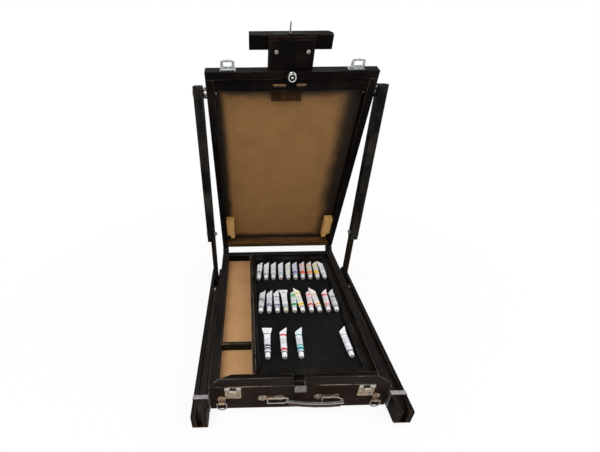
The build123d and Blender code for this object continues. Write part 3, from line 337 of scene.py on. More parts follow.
# %% [markdown]
# ## Lacquered wood
# The boards are softwood with a near-black stain and a thin, tired varnish. The eye
# sees long fine grain, hardly any gloss, and brown-grey wood where edges and top faces
# have been rubbed bare. A noise that is stretched along the board makes the grain. The
# Bevel node finds the edges: where its smoothed normal leaves the true one, the coat is
# worn. Its normal also rounds the edges for the light.

# %% Lacquered wood
GRAIN_ACROSS = 1.6 * MM
GRAIN_ALONG = 45 * MM
STREAK_ACROSS = 7 * MM
STREAK_ALONG = 180 * MM
WEAR_REACH = 2.0 * MM
WEAR_PATCH = 14 * MM
WEAR_RUN = 70 * MM
DUST_PATCH = 60 * MM
TOP_WORN = "#252321"
RAW_SLIT = "#96704c"
VARNISH_GLOSS = 0.02


def finish(material, *names):
    """Give CAD nodes a material."""
    for name in names:
        data = nodes[name].data
        data.materials.clear()
        data.materials.append(material)


def lacquered_wood(name, base, light, worn, axis, *boards, wear=1.0, dust=0.03, top=None,
                   slits=False, end=None, mitred=None):
    """Give boards stained wood, with grain along one axis, dusty patches and rubbed edges."""
    material, tree = new_material(name)
    place = pattern_space(tree, boards[0].startswith(("lid_", "mast_")))
    space = mitred_space(tree, place, nodes[mitred]) if mitred else place
    fine = along_board(tree, space, axis, GRAIN_ACROSS, GRAIN_ALONG, 4.0, 0.6)
    streak = along_board(tree, space, axis, STREAK_ACROSS, STREAK_ALONG, 2.0)
    patch = along_board(tree, space, axis, WEAR_PATCH, WEAR_RUN, 5.0, 0.6)
    cloud = add(tree, "TexNoise", Vector=space, Scale=1 / DUST_PATCH, Detail=3.0)

    fine_part = add(tree, "MapRange", _0=fine, _1=0.35, _2=0.75)
    streak_part = add(tree, "MapRange", _0=streak, _1=0.3, _2=0.7, _3=0.3, _4=1.0)
    grain = add(tree, "Math", MULTIPLY, _0=fine_part, _1=streak_part)
    colour = add(tree, "Mix", RGBA, _0=grain, _6=linear(base), _7=linear(light))
    colour = tinted(tree, colour, worn, cloud, 0.42, 0.7, dust)

    soft = add(tree, "Bevel", {"samples": 6}, Radius=WEAR_REACH)
    true = add(tree, "NewGeometry").outputs["Normal"]
    same = add(tree, "VectorMath", {"operation": "DOT_PRODUCT"}, _0=soft, _1=true)
    corner = add(tree, "MapRange", _0=same.outputs["Value"], _1=0.99, _2=0.80, _3=0.0, _4=wear)
    bare = add(tree, "MapRange", _0=patch, _1=0.42, _2=0.62)
    edge = add(tree, "Math", MULTIPLY, _0=corner, _1=bare)

    coats = []
    if top:
        coats.append((worn_top(tree, place, top, streak), TOP_WORN))
    if end:
        start, stop, thin = end
        coats.append((bare_end(tree, place, patch, start, stop), thin))
    if slits:
        coats.append((inside_slits(tree, place), RAW_SLIT))
    for share, hue in (*coats, (edge, worn)):
        colour = add(tree, "Mix", RGBA, _0=share, _6=colour, _7=linear(hue))

    shine = add(tree, "MapRange", _0=cloud, _1=0.3, _2=0.7, _3=0.42, _4=0.62)
    bump = add(tree, "Bump", Height=fine, Strength=0.15, Distance=0.15 * MM, Normal=soft)
    surface = add(tree, "BsdfPrincipled", Base_Color=colour, Roughness=shine, IOR=1.5,
                  Specular_IOR_Level=VARNISH_GLOSS, Normal=bump)
    add(tree, "OutputMaterial", Surface=surface)
    finish(material, *boards)


print("wear reaches", round(WEAR_REACH / MM, 1), "mm in from an edge")

# %% [markdown]
# ## Finishes of the boards
# Each group of boards has its own shade, from the dark stain, through its lighter grain,
# to the colour that wear brings out. The box and the lid are the blackest. The partition
# and the divider of the brush well are the most worn, and the bottom rail of the lid
# has lost nearly all its stain.

# %% Walls, frame and insert
BOX_TOP = 74
BLACK = ("#080606", "#130f0d", "#75675a")

lacquered_wood("lacquer_along_x", *BLACK, "x", "rear_wall", top=BOX_TOP)
lacquered_wood("lacquer_along_y", *BLACK, "y", "left_wall", "right_wall", top=BOX_TOP)
lacquered_wood("front_wall_wood", "#170e09", "#2a1b10", "#b0a89c", "x", "front_wall", wear=1.7,
               top=BOX_TOP)
lacquered_wood("worn_lacquer_along_x", "#14100d", "#2a211a", "#a09280", "x", "well_divider",
               "rear_leg_brackets", wear=2.2, dust=0.04)
lacquered_wood("partition_lacquer", "#1b1713", "#332c25", "#a49583", "y", "long_partition",
               wear=2.4, dust=0.06)
lacquered_wood("insert_lacquer", "#0f0e0d", "#201e1c", "#6d675f", "y", "insert_frame", dust=0.09,
               mitred="insert_frame")
lacquered_wood("batten_lacquer", "#0e0b0a", "#1d1814", "#7d7468", "y", "inner_battens",
               mitred="inner_battens")
print("walls end at", BOX_TOP, "mm")

# %% Legs and stays
LEG_TOP = 50
LEG_BLACK = ("#080706", "#120f0d", "#6b5d4e")

lacquered_wood("lacquer_of_legs", *LEG_BLACK, "y", "leg_channel_left", "leg_channel_right",
               dust=0.02, top=LEG_TOP, end=LEG_NOSE)
lacquered_wood("rear_leg_lacquer", *LEG_BLACK, "y", "rear_leg")
lacquered_wood("inner_leg_wood", "#120e0c", "#241b15", "#54473a", "y", "leg_slat_right", wear=0.5)
# The left slat is given lighter wood than the right one.
lacquered_wood("lighter_inner_leg_wood", "#221e1a", "#3f382f", "#6b6155", "y", "leg_slat_left",
               wear=0.5)
lacquered_wood("lacquer_of_stays", "#0c0b0a", "#1a1715", "#6f675e", "z", "stay_outer_left",
               "stay_outer_right", wear=0.7, dust=0.14)
lacquered_wood("bare_stay_slats", "#120e0c", "#241b15", "#6b5947", "z", "stay_slat_left",
               "stay_slat_right", wear=0.8)
print("legs end at", LEG_TOP, "mm")

# %% Lid and mast
lacquered_wood("lid_lacquer_along_x", *BLACK, "x", "lid_top_rail", wear=0.6)
lacquered_wood("lid_lacquer_along_y", *BLACK, "y", "lid_stile_left", "lid_stile_right",
               "mast_plate", wear=0.6)
lacquered_wood("worn_bottom_rail", "#2e1e12", "#7d5835", "#b08a5e", "x", "lid_bottom_rail")
lacquered_wood("block_wood", "#b0834a", "#e0b878", "#e6c68e", "y", "lid_blocks", wear=0.3, dust=0.0)
lacquered_wood("slitted_guide", *BLACK, "x", "mast_guide", slits=True)
lacquered_wood("crosspiece_wood", "#050404", "#0e0b09", "#75675a", "x", "mast_crosspiece",
               wear=0.9, dust=0.01)
lacquered_wood("rubbed_mast_board", "#140d09", "#281a11", "#4c4238", "y", "mast_board",
               end=MAST_TAB)
print("wood along the lid", sorted(name for name in nodes if name.startswith("lid_")))

# %% [markdown]
# ## Hardboard
# The panel of the lid, the floor of the brush well and the bottom of the box are
# hardboard: pressed wood fibre with a smooth warm brown face. It shows fine flecks and
# faint cloudy stains. The lid's inner face has painted shade along its margin, standing
# in for the shadow of the frame, and it reaches furthest in on the right. The distance
# to the frame is worked out from the object coordinates, and a little noise makes the
# edge of the painted shade ragged.

# %% Hardboard
FIBRE = 1.8 * MM
STAIN = 55 * MM
PANEL_HALF_W = 172 * MM
PANEL_LOW = -226 * MM
PANEL_HIGH = 255 * MM
PANEL_INSIDE = 100 * MM
# How far the painted shade of the frame reaches onto the panel, and where it is fully dark.
SIDE_MARGIN = 28 * MM
FULL_SHADE_AT = 7 * MM
RIGHT_SHARE = 0.45
RAGGED = 60 * MM
RAGGED_BY = 3 * MM


def painted_shade_margin(tree, space, colour, dark):
    """Painted shade towards the four sides of the lid's panel, reaching furthest in on the right.
    """
    parts = add(tree, "SeparateXYZ", Vector=space).outputs
    left = add(tree, "Math", {"operation": "ADD"}, _0=parts[0], _1=PANEL_HALF_W)
    right = add(tree, "Math", {"operation": "MULTIPLY_ADD"}, _0=parts[0],
                _1=-RIGHT_SHARE, _2=PANEL_HALF_W * RIGHT_SHARE)
    front = add(tree, "Math", SUBTRACT, _0=parts[1], _1=PANEL_LOW)
    rear = add(tree, "Math", SUBTRACT, _0=PANEL_HIGH, _1=parts[1])
    near = left
    for other in (right, front, rear):
        near = add(tree, "Math", {"operation": "MINIMUM"}, _0=near, _1=other)
    ragged = add(tree, "TexNoise", Vector=space, Scale=1 / RAGGED, Detail=2.0)
    shift = add(tree, "MapRange", _0=ragged, _1=0.3, _2=0.7, _3=-RAGGED_BY, _4=RAGGED_BY)
    near = add(tree, "Math", {"operation": "ADD"}, _0=near, _1=shift)
    # Painted shade: the panel turns dark near the frame and fades out across the side margin.
    stain_and_shade = add(tree, "MapRange", SMOOTH, _0=near, _1=SIDE_MARGIN, _2=FULL_SHADE_AT, _3=0.0, _4=0.95)
    inside = add(tree, "Math", {"operation": "LESS_THAN"}, _0=parts[2], _1=PANEL_INSIDE)
    stain_and_shade = add(tree, "Math", MULTIPLY, _0=stain_and_shade, _1=inside)
    return add(tree, "Mix", RGBA, _0=stain_and_shade, _6=colour, _7=linear(dark))


def hardboard(name, base, fleck, stain_and_shade, on_lid=False, margin_shade=None):
    """Smooth pressed fibre board, with painted shade along its margin on the lid."""
    material, tree = new_material(name)
    space = pattern_space(tree, on_lid)
    fibre = add(tree, "TexNoise", Vector=space, Scale=1 / FIBRE, Detail=4.0, Roughness=0.7)
    cloud = add(tree, "TexNoise", Vector=space, Scale=1 / STAIN, Detail=3.0)
    colour = tinted(tree, linear(base), fleck, fibre, 0.35, 0.7)
    colour = tinted(tree, colour, stain_and_shade, cloud, 0.45, 0.75, 0.4)
    if margin_shade:
        colour = painted_shade_margin(tree, space, colour, margin_shade)
    rough = add(tree, "MapRange", _0=fibre, _1=0.3, _2=0.7, _3=0.55, _4=0.75)
    bump = add(tree, "Bump", Height=fibre, Strength=0.1, Distance=0.1 * MM)
    surface = add(tree, "BsdfPrincipled", Base_Color=colour, Roughness=rough, IOR=1.46,
                  Specular_IOR_Level=0.25, Normal=bump)
    add(tree, "OutputMaterial", Surface=surface)
    return material


# The lid's panel gets painted shade along its margin, in #140b08.
finish(hardboard("lid_hardboard", "#74512d", "#987141", "#6d4b29", on_lid=True,
                 margin_shade="#140b08"), "lid_panel")
finish(hardboard("well_hardboard", "#b08257", "#cca170", "#9a6f46"), "well_floor")
finish(hardboard("bottom_hardboard", "#684b2e", "#866541", "#58401f"), "bottom_panel")
print("panel", [round(v / MM) for v in (2 * PANEL_HALF_W, PANEL_HIGH - PANEL_LOW)], "mm")

# %% [markdown]
# ## Black board
# The paints lie on a black painted board. It is matt and a little dusty, and shows
# faint scuffs where tubes have been slid in and out.

# %% Black board
SPECK = 2.2 * MM
SCUFF_ACROSS = 3 * MM
SCUFF_ALONG = 40 * MM
SCUFF_TURN = math.radians(12)
BOARD_CLOUD = 70 * MM

material, tree = new_material("black_paint")
space = pattern_space(tree)
speck = add(tree, "TexNoise", Vector=space, Scale=1 / SPECK, Detail=5.0, Roughness=0.7)
cloud = add(tree, "TexNoise", Vector=space, Scale=1 / BOARD_CLOUD, Detail=3.0)
scuff_at = add(tree, "Mapping", Vector=space, Rotation=(0, 0, SCUFF_TURN),
               Scale=(1 / SCUFF_ALONG, 1 / SCUFF_ACROSS, 1))
scuff = add(tree, "TexNoise", Vector=scuff_at, Scale=1.0, Detail=3.0)
colour = tinted(tree, linear("#0a0a0b"), "#141415", cloud, 0.35, 0.7)
colour = tinted(tree, colour, "#3a3734", speck, 0.62, 0.8, 0.35)
colour = tinted(tree, colour, "#3d3a38", scuff, 0.6, 0.75, 0.35)
bump = add(tree, "Bump", Height=speck, Strength=0.1, Distance=0.1 * MM)
surface = add(tree, "BsdfPrincipled", Base_Color=colour, Roughness=0.6,
              Specular_IOR_Level=0.08, Normal=bump)
add(tree, "OutputMaterial", Surface=surface)
finish(material, "insert_board")
print("board nodes", len(tree.nodes))

# %% [markdown]
# ## Plated metal
# The small fittings are pressed steel with nickel, zinc or brass plate. Nickel is a
# warm grey mirror. Handling has made it blotchy, so its roughness and its tint vary
# over a few millimetres. Painted shade darkens the corners and crevices, which the
# Ambient Occlusion node finds. The Bevel node rounds the edges that the punch left, so
# they catch the light.

# %% Plated metal
TARNISH = 5 * MM
PRESSED_EDGE = 0.5 * MM
CREVICE = 5 * MM
CREVICE_SHADE = "#2b2824"


def plated(name, bright, dull, rough, crevice_shade=1.0):
    """Plated or bare metal with tarnish, painted shade in its crevices, and softened edges."""
    material, tree = new_material(name)
    space = pattern_space(tree)
    patch = add(tree, "TexNoise", Vector=space, Scale=1 / TARNISH, Detail=4.0, Roughness=0.6)
    colour = tinted(tree, linear(bright), dull, patch, 0.4, 0.68)
    shine = add(tree, "MapRange", _0=patch, _1=0.35, _2=0.7, _3=rough[0], _4=rough[1])
    # Painted shade: the colour turns dark where Ambient Occlusion finds a corner or crevice.
    open_sky = add(tree, "AmbientOcclusion", {"samples": 6}, Distance=CREVICE).outputs["AO"]
    unshaded = add(tree, "MapRange", _0=open_sky, _1=0.35, _2=0.9, _3=1 - crevice_shade)
    colour = add(tree, "Mix", RGBA, _0=unshaded, _6=linear(CREVICE_SHADE), _7=colour)
    soft = add(tree, "Bevel", {"samples": 4}, Radius=PRESSED_EDGE)
    bump = add(tree, "Bump", Height=patch, Strength=0.04, Distance=0.2 * MM, Normal=soft)
    surface = add(tree, "BsdfPrincipled", Base_Color=colour, Roughness=shine,
                  Metallic=1.0, Normal=bump)
    add(tree, "OutputMaterial", Surface=surface)
    return material


nickel = plated("nickel_plate", "#c9c7c2", "#8f8b84", (0.2, 0.36))
finish(nickel, "keeper_hooks", "stay_bolts", "mast_screws", "hinge_pins", "stay_clamp_left",
       "stay_clamp_right", *[name for name in nodes if "wing_nut" in name])
finish(plated("bright_wire", "#b4b2af", "#918e8b", (0.36, 0.5), crevice_shade=0.2), "handle_fittings")
# On the hasps and latch plates the dark blotches, #5a5e60, are tarnish and painted dark reflection.
finish(plated("hasp_plate", "#aeb3b4", "#5a5e60", (0.16, 0.36)), "latch_plates", "hasp_left",
       "hasp_right")
finish(plated("grey_wire", "#8d8a85", "#6c6964", (0.25, 0.4)), "strap_ring_left",
       "strap_ring_right")
finish(plated("dull_brass_plate", "#a8917c", "#7b6a59", (0.34, 0.52)), "keeper_plates",
       "ring_plates", "handle_plates", "corner_plates")
finish(plated("zinc_steel", "#a5a1a2", "#7e7b7c", (0.42, 0.6)), "leg_band_left",
       "leg_band_right", "leg_bolts")
finish(plated("worn_zinc_steel", "#827f7b", "#5d5a57", (0.4, 0.58)), "keep_plate", "canvas_spike")
chrome = plated("chrome_plate", "#dcdcda", "#b5b4b0", (0.08, 0.2))
finish(chrome, "mast_knob")
print("metals", [m.name for m in bpy.data.materials if m.name.endswith(("plate", "steel", "wire"))])

# %% [markdown]
# ## Paint tubes
# A paint tube starts as a round sleeve of soft aluminium, printed before it is filled.
# It is filled from behind, pressed flat and crimped, so it widens as it flattens, and a
# used tube is folded at a slant. Each body here is a ring that is extruded from station
# to station, flatter and wider each time, and a slanted cut with bisect_plane makes the
# folded end. Noise pushes dents into a used tube. Blender takes the seed of that noise
# from the clock, so a seed of its own keeps the dents where they are in every run.

# %% Body of a tube
ORIGIN_Y = 264.6636 * MM
TUBE_R = 7.3 * MM
NECK_R = 3.4 * MM
CAP_L = 13 * MM
TUBE_START = 16 * MM
BODY_L = 78 * MM
NECK_SUNK = 2 * MM
NECK_STOP = 0.3 * MM
SHOULDER_L = 0.7 * MM
SHOULDER_R = TUBE_R * 0.93
CRIMP_L = 5 * MM
CRIMP_HALF_T = 0.7 * MM
STRAIGHT_W = 12.4 * MM
FLARE_SHARE = 0.7
FLARE_W = 8.0 * MM
FLARE_H = 3.8 * MM
FLARE_Z = 5.8 * MM
FLARE_POWER = 1.4
TAIL_Z = TUBE_R * 0.7
FOLD_L = 23 * MM
FOLD_STRIP = 4.0 * MM
FOLD_TIP = 2.2 * MM
FOLD_THICKER = 1.25
FOLD_RAISED = 0.5 * MM
FOLD_PAST = 1 * MM
FOLD_MARGIN = 0.2 * MM
DENTS_PER_M = 130
DENTED = (0.06, 0.97)
DENT_SEED = 1
TUBE_SIDES = 28
STATIONS = (0.02, 0.05, 0.1, 0.15, 0.2, 0.26, 0.32, 0.4, 0.48, 0.56, 0.64, 0.7, 0.76, 0.82, 0.87,
            0.92, 0.96, 0.99)
CRIMP_STEPS = ((0.0, 1.1), (0.5, 0.8), (1.5, 0.8), (2.0, 1.1), (3.1, 1.1), (3.6, 0.8), (5.0, 0.8))


UPRIGHT = Matrix.Rotation(math.radians(90), 3, "X")
seed_set(DENT_SEED)


def of_kind(items, kind):
    """The items of a bmesh that are of one kind."""
    return [item for item in items if isinstance(item, kind)]


def grow_ring(bm, ring, y, half_w, half_h, z):
    """Extrude a closed ring of edges along y, to a new width, height and middle."""
    new = bmesh.ops.extrude_edge_only(bm, edges=ring)["geom"]
    verts = of_kind(new, bmesh.types.BMVert)
    middle = sum((vert.co for vert in verts), Vector()) / len(verts)
    reach_x = max(abs(vert.co.x - middle.x) for vert in verts)
    reach_z = max(abs(vert.co.z - middle.z) for vert in verts)
    bmesh.ops.translate(bm, verts=verts, vec=-middle)
    bmesh.ops.scale(bm, verts=verts, vec=(half_w / reach_x, 1, half_h / reach_z))
    bmesh.ops.translate(bm, verts=verts, vec=(0, y, z))
    return of_kind(new, bmesh.types.BMEdge)


def fold_tail(bm, tip, wide):
    """Cut the tail at a slant and thicken the strip that is folded over."""
    end = TUBE_START + BODY_L + CRIMP_L
    edge = tip * (wide + FOLD_PAST)
    low = Vector((-edge, end - FOLD_L, 0))
    high = Vector((edge - tip * FOLD_TIP, end, 0))
    away = Vector((0, 0, tip)).cross(high - low).normalized()
    for point, clear in ((low, True), (low - away * FOLD_STRIP, False)):
        bmesh.ops.bisect_plane(bm, geom=bm.verts[:] + bm.edges[:] + bm.faces[:], dist=1e-6,
                               plane_co=point, plane_no=away, clear_outer=clear)
    strip = [vert for vert in bm.verts if (vert.co - low).dot(away) > -FOLD_STRIP + FOLD_MARGIN]
    for vert in strip:
        vert.co.z = TAIL_Z + (vert.co.z - TAIL_Z) * FOLD_THICKER + FOLD_RAISED
    bmesh.ops.holes_fill(bm, edges=bm.edges, sides=0)


def crumple(bm, depth, seed):
    """Push dents into a used tube."""
    for vert in bm.verts:
        share = (vert.co.y - TUBE_START) / BODY_L
        if DENTED[0] < share < DENTED[1]:
            push = noise_vector(vert.co * DENTS_PER_M + Vector((seed * 7.1, seed * 3.3, 0)))
            fade = min(1.0, 5 * (share - DENTED[0]))
            vert.co += Vector((push.x * 0.35, 0, -abs(push.z))) * depth * fade


def tube_bmesh(tip, wide, bands, dents, seed):
    """One tube with its cap end at y = 0, lying on z = 0."""
    bm = bmesh.new()
    bmesh.ops.create_circle(bm, segments=TUBE_SIDES, radius=NECK_R)
    bmesh.ops.rotate(bm, verts=bm.verts, matrix=UPRIGHT)
    bmesh.ops.translate(bm, verts=bm.verts, vec=(0, CAP_L - NECK_SUNK, TUBE_R))
    ring = grow_ring(bm, bm.edges[:], CAP_L + NECK_STOP, NECK_R, NECK_R, TUBE_R)
    ring = grow_ring(bm, ring, TUBE_START - SHOULDER_L, SHOULDER_R, SHOULDER_R, TUBE_R)
    ring = grow_ring(bm, ring, TUBE_START, TUBE_R, TUBE_R, TUBE_R)
    for share in sorted(set(STATIONS).union(*[band[:2] for band in bands])):
        slow = min(1.0, share / FLARE_SHARE)
        fast = max(0.0, (share - FLARE_SHARE) / (1 - FLARE_SHARE))
        half_w = TUBE_R + (FLARE_W - TUBE_R) * slow + (wide - FLARE_W) * fast ** FLARE_POWER
        half_h = TUBE_R + (FLARE_H - TUBE_R) * slow + (CRIMP_HALF_T - FLARE_H) * fast
        middle = TUBE_R + (FLARE_Z - TUBE_R) * slow + (TAIL_Z - FLARE_Z) * fast
        ring = grow_ring(bm, ring, TUBE_START + BODY_L * share, half_w, half_h, middle)
    for step, thick in CRIMP_STEPS:
        ring = grow_ring(bm, ring, TUBE_START + BODY_L + step * MM, wide, CRIMP_HALF_T * thick,
                         TAIL_Z)
    bmesh.ops.holes_fill(bm, edges=bm.edges, sides=0)
    crumple(bm, dents * MM, seed)
    if tip:
        fold_tail(bm, tip, wide)
    bmesh.ops.recalc_face_normals(bm, faces=bm.faces)
    return bm


print("tube stations", len(STATIONS) + len(CRIMP_STEPS) + 4)

# %% [markdown]
# ## The three rows
# Ten tubes lie in the back row, ten in the middle one, and four of the six places in
# front are filled. Each line below is one tube: the side of its folded tip, its lean in
# degrees, how crumpled it is, how bare its metal is, and its bands as shares of the
# body's length. The bands are face colours, so they follow the tube wherever it lies. A
# second layer on the faces marks where fine grey dashes go. A propped tube rests its
# tail on its neighbour.

# %% Rows of tubes
WHITE = "#f6f8fc"
TINT = {"back": 0.13, "middle": 0.1, "front": 0.03}
VIVID = 90
DASHED = ((0.27, 0.44), (0.5, 0.6))
INK = "#24242b"
# Painted shade: a thin dark strip at the start of the body, where the neck under the cap is in
# shadow.
SHOULDER_SHADE = "#4e4f55"
SHOULDER_SHADE_END = 0.004
INK_SHARE = 0.3
BACK_ROW = (
    (1, -5.0, 0.5, 0.1,
     ((0.04, 0.09, INK), (0.16, 0.25, "#3c3c46"), (0.84, 0.87, "#8d8f9a"))),
    (1, -4.0, 0.4, 0.1, ((0.05, 0.11, "#3a3d6b"), (0.18, 0.2, "#9a9cb4"))),
    (1, -4.0, 0.4, 0.1, ((0.05, 0.11, "#4b3a38"), (0.7, 0.74, "#a9a2a0"))),
    (1, -4.5, 0.4, 0.1, ((0.05, 0.14, "#6fb0bd"), (0.2, 0.22, "#a9c9d2"))),
    (1, -5.0, 0.4, 0.0, ((0.1, 0.2, "#ece1a6"), (0.66, 0.8, "#ded9c4"))),
    (1, -4.5, 0.4, 0.0,
     ((0.05, 0.11, "#2f3699"), (0.14, 0.22, "#4d53ae"), (0.74, 0.78, "#9da2d2"))),
    (1, -5.5, 0.3, 0.0, ((0.04, 0.24, "#e9573a"), (0.62, 0.84, "#e7c3bd"))),
    (1, -5.5, 0.3, 0.0, ((0.04, 0.24, "#f0953a"), (0.62, 0.84, "#ead0b4"))),
    (1, -3.5, 0.3, 0.0, ((0.04, 0.24, "#f5cd23"), (0.62, 0.84, "#e6ddb2"))),
    (-1, -0.5, 0.4, 0.1, ((0.08, 0.1, "#a6a8b2"),)),
)
MIDDLE_ROW = (
    (1, -6.0, 1.9, 0.75, ((0.02, 0.05, "#4c4c52"), (0.4, 0.48, "#70727a"))),
    (1, -4.0, 1.5, 0.5, ((0.04, 0.12, "#2f3368"), (0.15, 0.2, "#5c5f80"))),
    (1, -1.5, 0.7, 0.2,
     ((0.02, 0.05, "#33377a"), (0.08, 0.15, "#2b3192"), (0.6, 0.64, "#5b5e7c"))),
    (0, -1.0, 0.3, 0.0,
     ((0.03, 0.07, "#5f7066"), (0.1, 0.14, "#8fa096"), (0.84, 0.87, "#878c96"))),
    (1, -4.0, 0.3, 0.0, ((0.04, 0.18, "#2d9a54"), (0.58, 0.76, "#7dc595"))),
    (-1, 4.5, 0.4, 0.0, ((0.05, 0.16, "#f2d22c"), (0.66, 0.78, "#eedd92"))),
    (1, -3.0, 0.4, 0.0, ((0.04, 0.15, "#e1482f"), (0.66, 0.72, "#dd6a55"))),
    (-1, 5.0, 0.4, 0.0, ((0.05, 0.15, "#f3ae75"), (0.62, 0.68, "#eccaa8"))),
    (1, -3.0, 0.4, 0.0,
     ((0.03, 0.07, "#d95f52"), (0.09, 0.15, "#ea6a5b"), (0.62, 0.72, "#e0574b"))),
    (1, -1.0, 1.9, 0.75, ((0.03, 0.06, "#8b8c94"), (0.5, 0.56, "#6d6f78"))),
)
FRONT_ROW = (
    (0, -2.0, 0.3, 0.0,
     ((0.03, 0.06, "#9a9ba3"), (0.09, 0.16, INK), (0.2, 0.28, "#33333b"), (0.76, 0.79, INK))),
    (1, -2.5, 0.3, 0.0, ((0.03, 0.12, "#d5343a"), (0.66, 0.74, "#dd4a4b"))),
    (1, -2.5, 0.3, 0.0,
     ((0.04, 0.16, "#16979a"), (0.2, 0.26, "#52b1b1"), (0.66, 0.71, "#3fa3a5"))),
    (1, 1.0, 0.8, 0.1, ((0.12, 0.14, "#b9bac4"), (0.64, 0.67, "#85868f"))),
)
SMALL_X = [(-72 + 23 * place) * MM for place in range(10)]
BIG_X = [(-62 + 38.6 * place) * MM for place in (0, 1, 2, 5)]
ROWS = (("back", BACK_ROW, SMALL_X), ("middle", MIDDLE_ROW, SMALL_X), ("front", FRONT_ROW, BIG_X))
ROW_Y = {"back": 388 * MM, "middle": 235 * MM, "front": 79 * MM}
FOLDED_W = {"back": 8.4 * MM, "middle": 8.4 * MM, "front": 10.4 * MM}
PROPPED = (("middle", 5), ("middle", 7))
PROP_TILT = math.radians(4.1)
INSERT_TOP = 59 * MM


def laid(row, number, x, lean):
    """The place on the board of one tube of a row."""
    tilt = PROP_TILT if (row, number) in PROPPED else 0
    turn = Matrix.Rotation(tilt, 4, "X") @ Matrix.Rotation(math.radians(lean), 4, "Z")
    return Matrix.Translation((x, ROW_Y[row] - ORIGIN_Y, INSERT_TOP)) @ turn


def body_colour(bands, tint):
    """White enamel, tinted where the print has a vivid colour."""
    ink = channels(bands[0][2])
    share = tint if max(ink) - min(ink) > VIVID else 0
    mixed = [round(a + (b - a) * share) for a, b in zip(channels(WHITE), ink)]
    return "#{:02x}{:02x}{:02x}".format(*mixed)


def paint(bm, bands, bare, base=WHITE, shoulder_shade=True):
    """Colour the faces of a tube by their place along it. Alpha is how bare the metal is. A thin
    dark strip at the shoulder is painted shade.
    """
    layer = bm.loops.layers.float_color.new("paint")
    dashes = bm.faces.layers.float.new("dashes")
    for face in bm.faces:
        share = (face.calc_center_median().y - TUBE_START) / BODY_L
        face[dashes] = float(any(low < share < high for low, high in DASHED))
        colour = next((band[2] for band in bands if band[0] <= share < band[1]), base)
        metal = bare if colour == base else bare * INK_SHARE
        # The painted shade at the shoulder, dark and metallic.
        if shoulder_shade and share < SHOULDER_SHADE_END:
            colour = SHOULDER_SHADE
            metal = 1.0
        for loop in face.loops:
            loop[layer] = linear(colour)[:3] + [metal]


def piece_of(bm, whole):
    """Append a bmesh to a larger one and free it."""
    part = bpy.data.meshes.new("part")
    bm.to_mesh(part)
    bm.free()
    whole.from_mesh(part)
    bpy.data.meshes.remove(part)


def lay_row(name, row, places):
    """One object with all the tubes of a row."""
    whole = bmesh.new()
    for number, (tip, lean, dents, bare, bands) in enumerate(row):
        bm = tube_bmesh(tip, FOLDED_W[name] if tip else STRAIGHT_W, bands, dents, number + 1)
        paint(bm, bands, bare, body_colour(bands, TINT[name]))
        for face in bm.faces:
            face.smooth = len(face.verts) == 4
        place = laid(name, number, places[number], lean)
        bmesh.ops.transform(bm, matrix=place, verts=bm.verts)
        piece_of(bm, whole)
    thing = mesh_object(f"{name}_row_of_tubes", whole)
    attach(thing, "insert")
    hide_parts(f"tubes_{name}_row")
    return thing


tube_rows = [lay_row(*row) for row in ROWS]
print("tubes", [len(row.data.polygons) for row in tube_rows])

# %% [markdown]
# ## Printed aluminium
# The sleeve is soft aluminium under white enamel, with inks over it. The enamel is
# semi-gloss. Handling leaves fine creases, and where a tube is crumpled the enamel has
# flaked and grey metal shows. The face colour's alpha says how bare each tube is. A
# stretched noise draws the fine grey dashes between the bands.

# %% Printed aluminium
CREASE = 3 * MM
FLAKE = 4 * MM
METAL_SHARE = 0.6
DASH = (1 / (2.6 * MM), 1 / (1.5 * MM), 1)

material, tree = new_material("printed_aluminium")
space = pattern_space(tree)
print_layer = add(tree, "Attribute", {"attribute_name": "paint"}).outputs
crease = add(tree, "TexNoise", Vector=space, Scale=1 / CREASE, Detail=3.0, Distortion=0.6)
flake = add(tree, "TexNoise", Vector=space, Scale=1 / FLAKE, Detail=3.0)
flaked = add(tree, "MapRange", _0=flake, _1=0.42, _2=0.62)
bare = add(tree, "Math", MULTIPLY, _0=flaked, _1=print_layer["Alpha"])
dash_at = add(tree, "Mapping", Vector=space, Scale=DASH)
dash = add(tree, "TexNoise", Vector=dash_at, Scale=1.0, Detail=1.0)
inked = add(tree, "MapRange", _0=dash, _1=0.5, _2=0.6, _3=0.0, _4=0.75)
dashed = add(tree, "Attribute", {"attribute_name": "dashes"}).outputs["Fac"]
inked = add(tree, "Math", MULTIPLY, _0=inked, _1=dashed)
colour = tinted(tree, print_layer["Color"], "#8f8f96", crease, 0.55, 0.8, 0.22)
colour = add(tree, "Mix", RGBA, _0=inked, _6=colour, _7=linear("#777a86"))
colour = add(tree, "Mix", RGBA, _0=bare, _6=colour, _7=linear("#aeb1b9"))
shiny = add(tree, "Math", MULTIPLY, _0=bare, _1=METAL_SHARE)
rough = add(tree, "MapRange", _0=crease, _1=0.3, _2=0.7, _3=0.28, _4=0.45)
bump = add(tree, "Bump", Height=crease, Strength=0.25, Distance=0.5 * MM)
surface = add(tree, "BsdfPrincipled", Base_Color=colour, Roughness=rough,
              Metallic=shiny, IOR=1.5, Specular_IOR_Level=0.4, Normal=bump)
add(tree, "OutputMaterial", Surface=surface)
for row in tube_rows:
    row.data.materials.append(material)
print("printed aluminium nodes", len(tree.nodes))

# %% [markdown]
# ## Caps
# The caps are moulded polyethylene with fine ribs for the fingers, a little narrower at
# the tip. A circle whose every other point is pulled in makes the ribs, and it is
# extruded along the cap. The tip is inset and pushed in a little, as the mould leaves
# it.

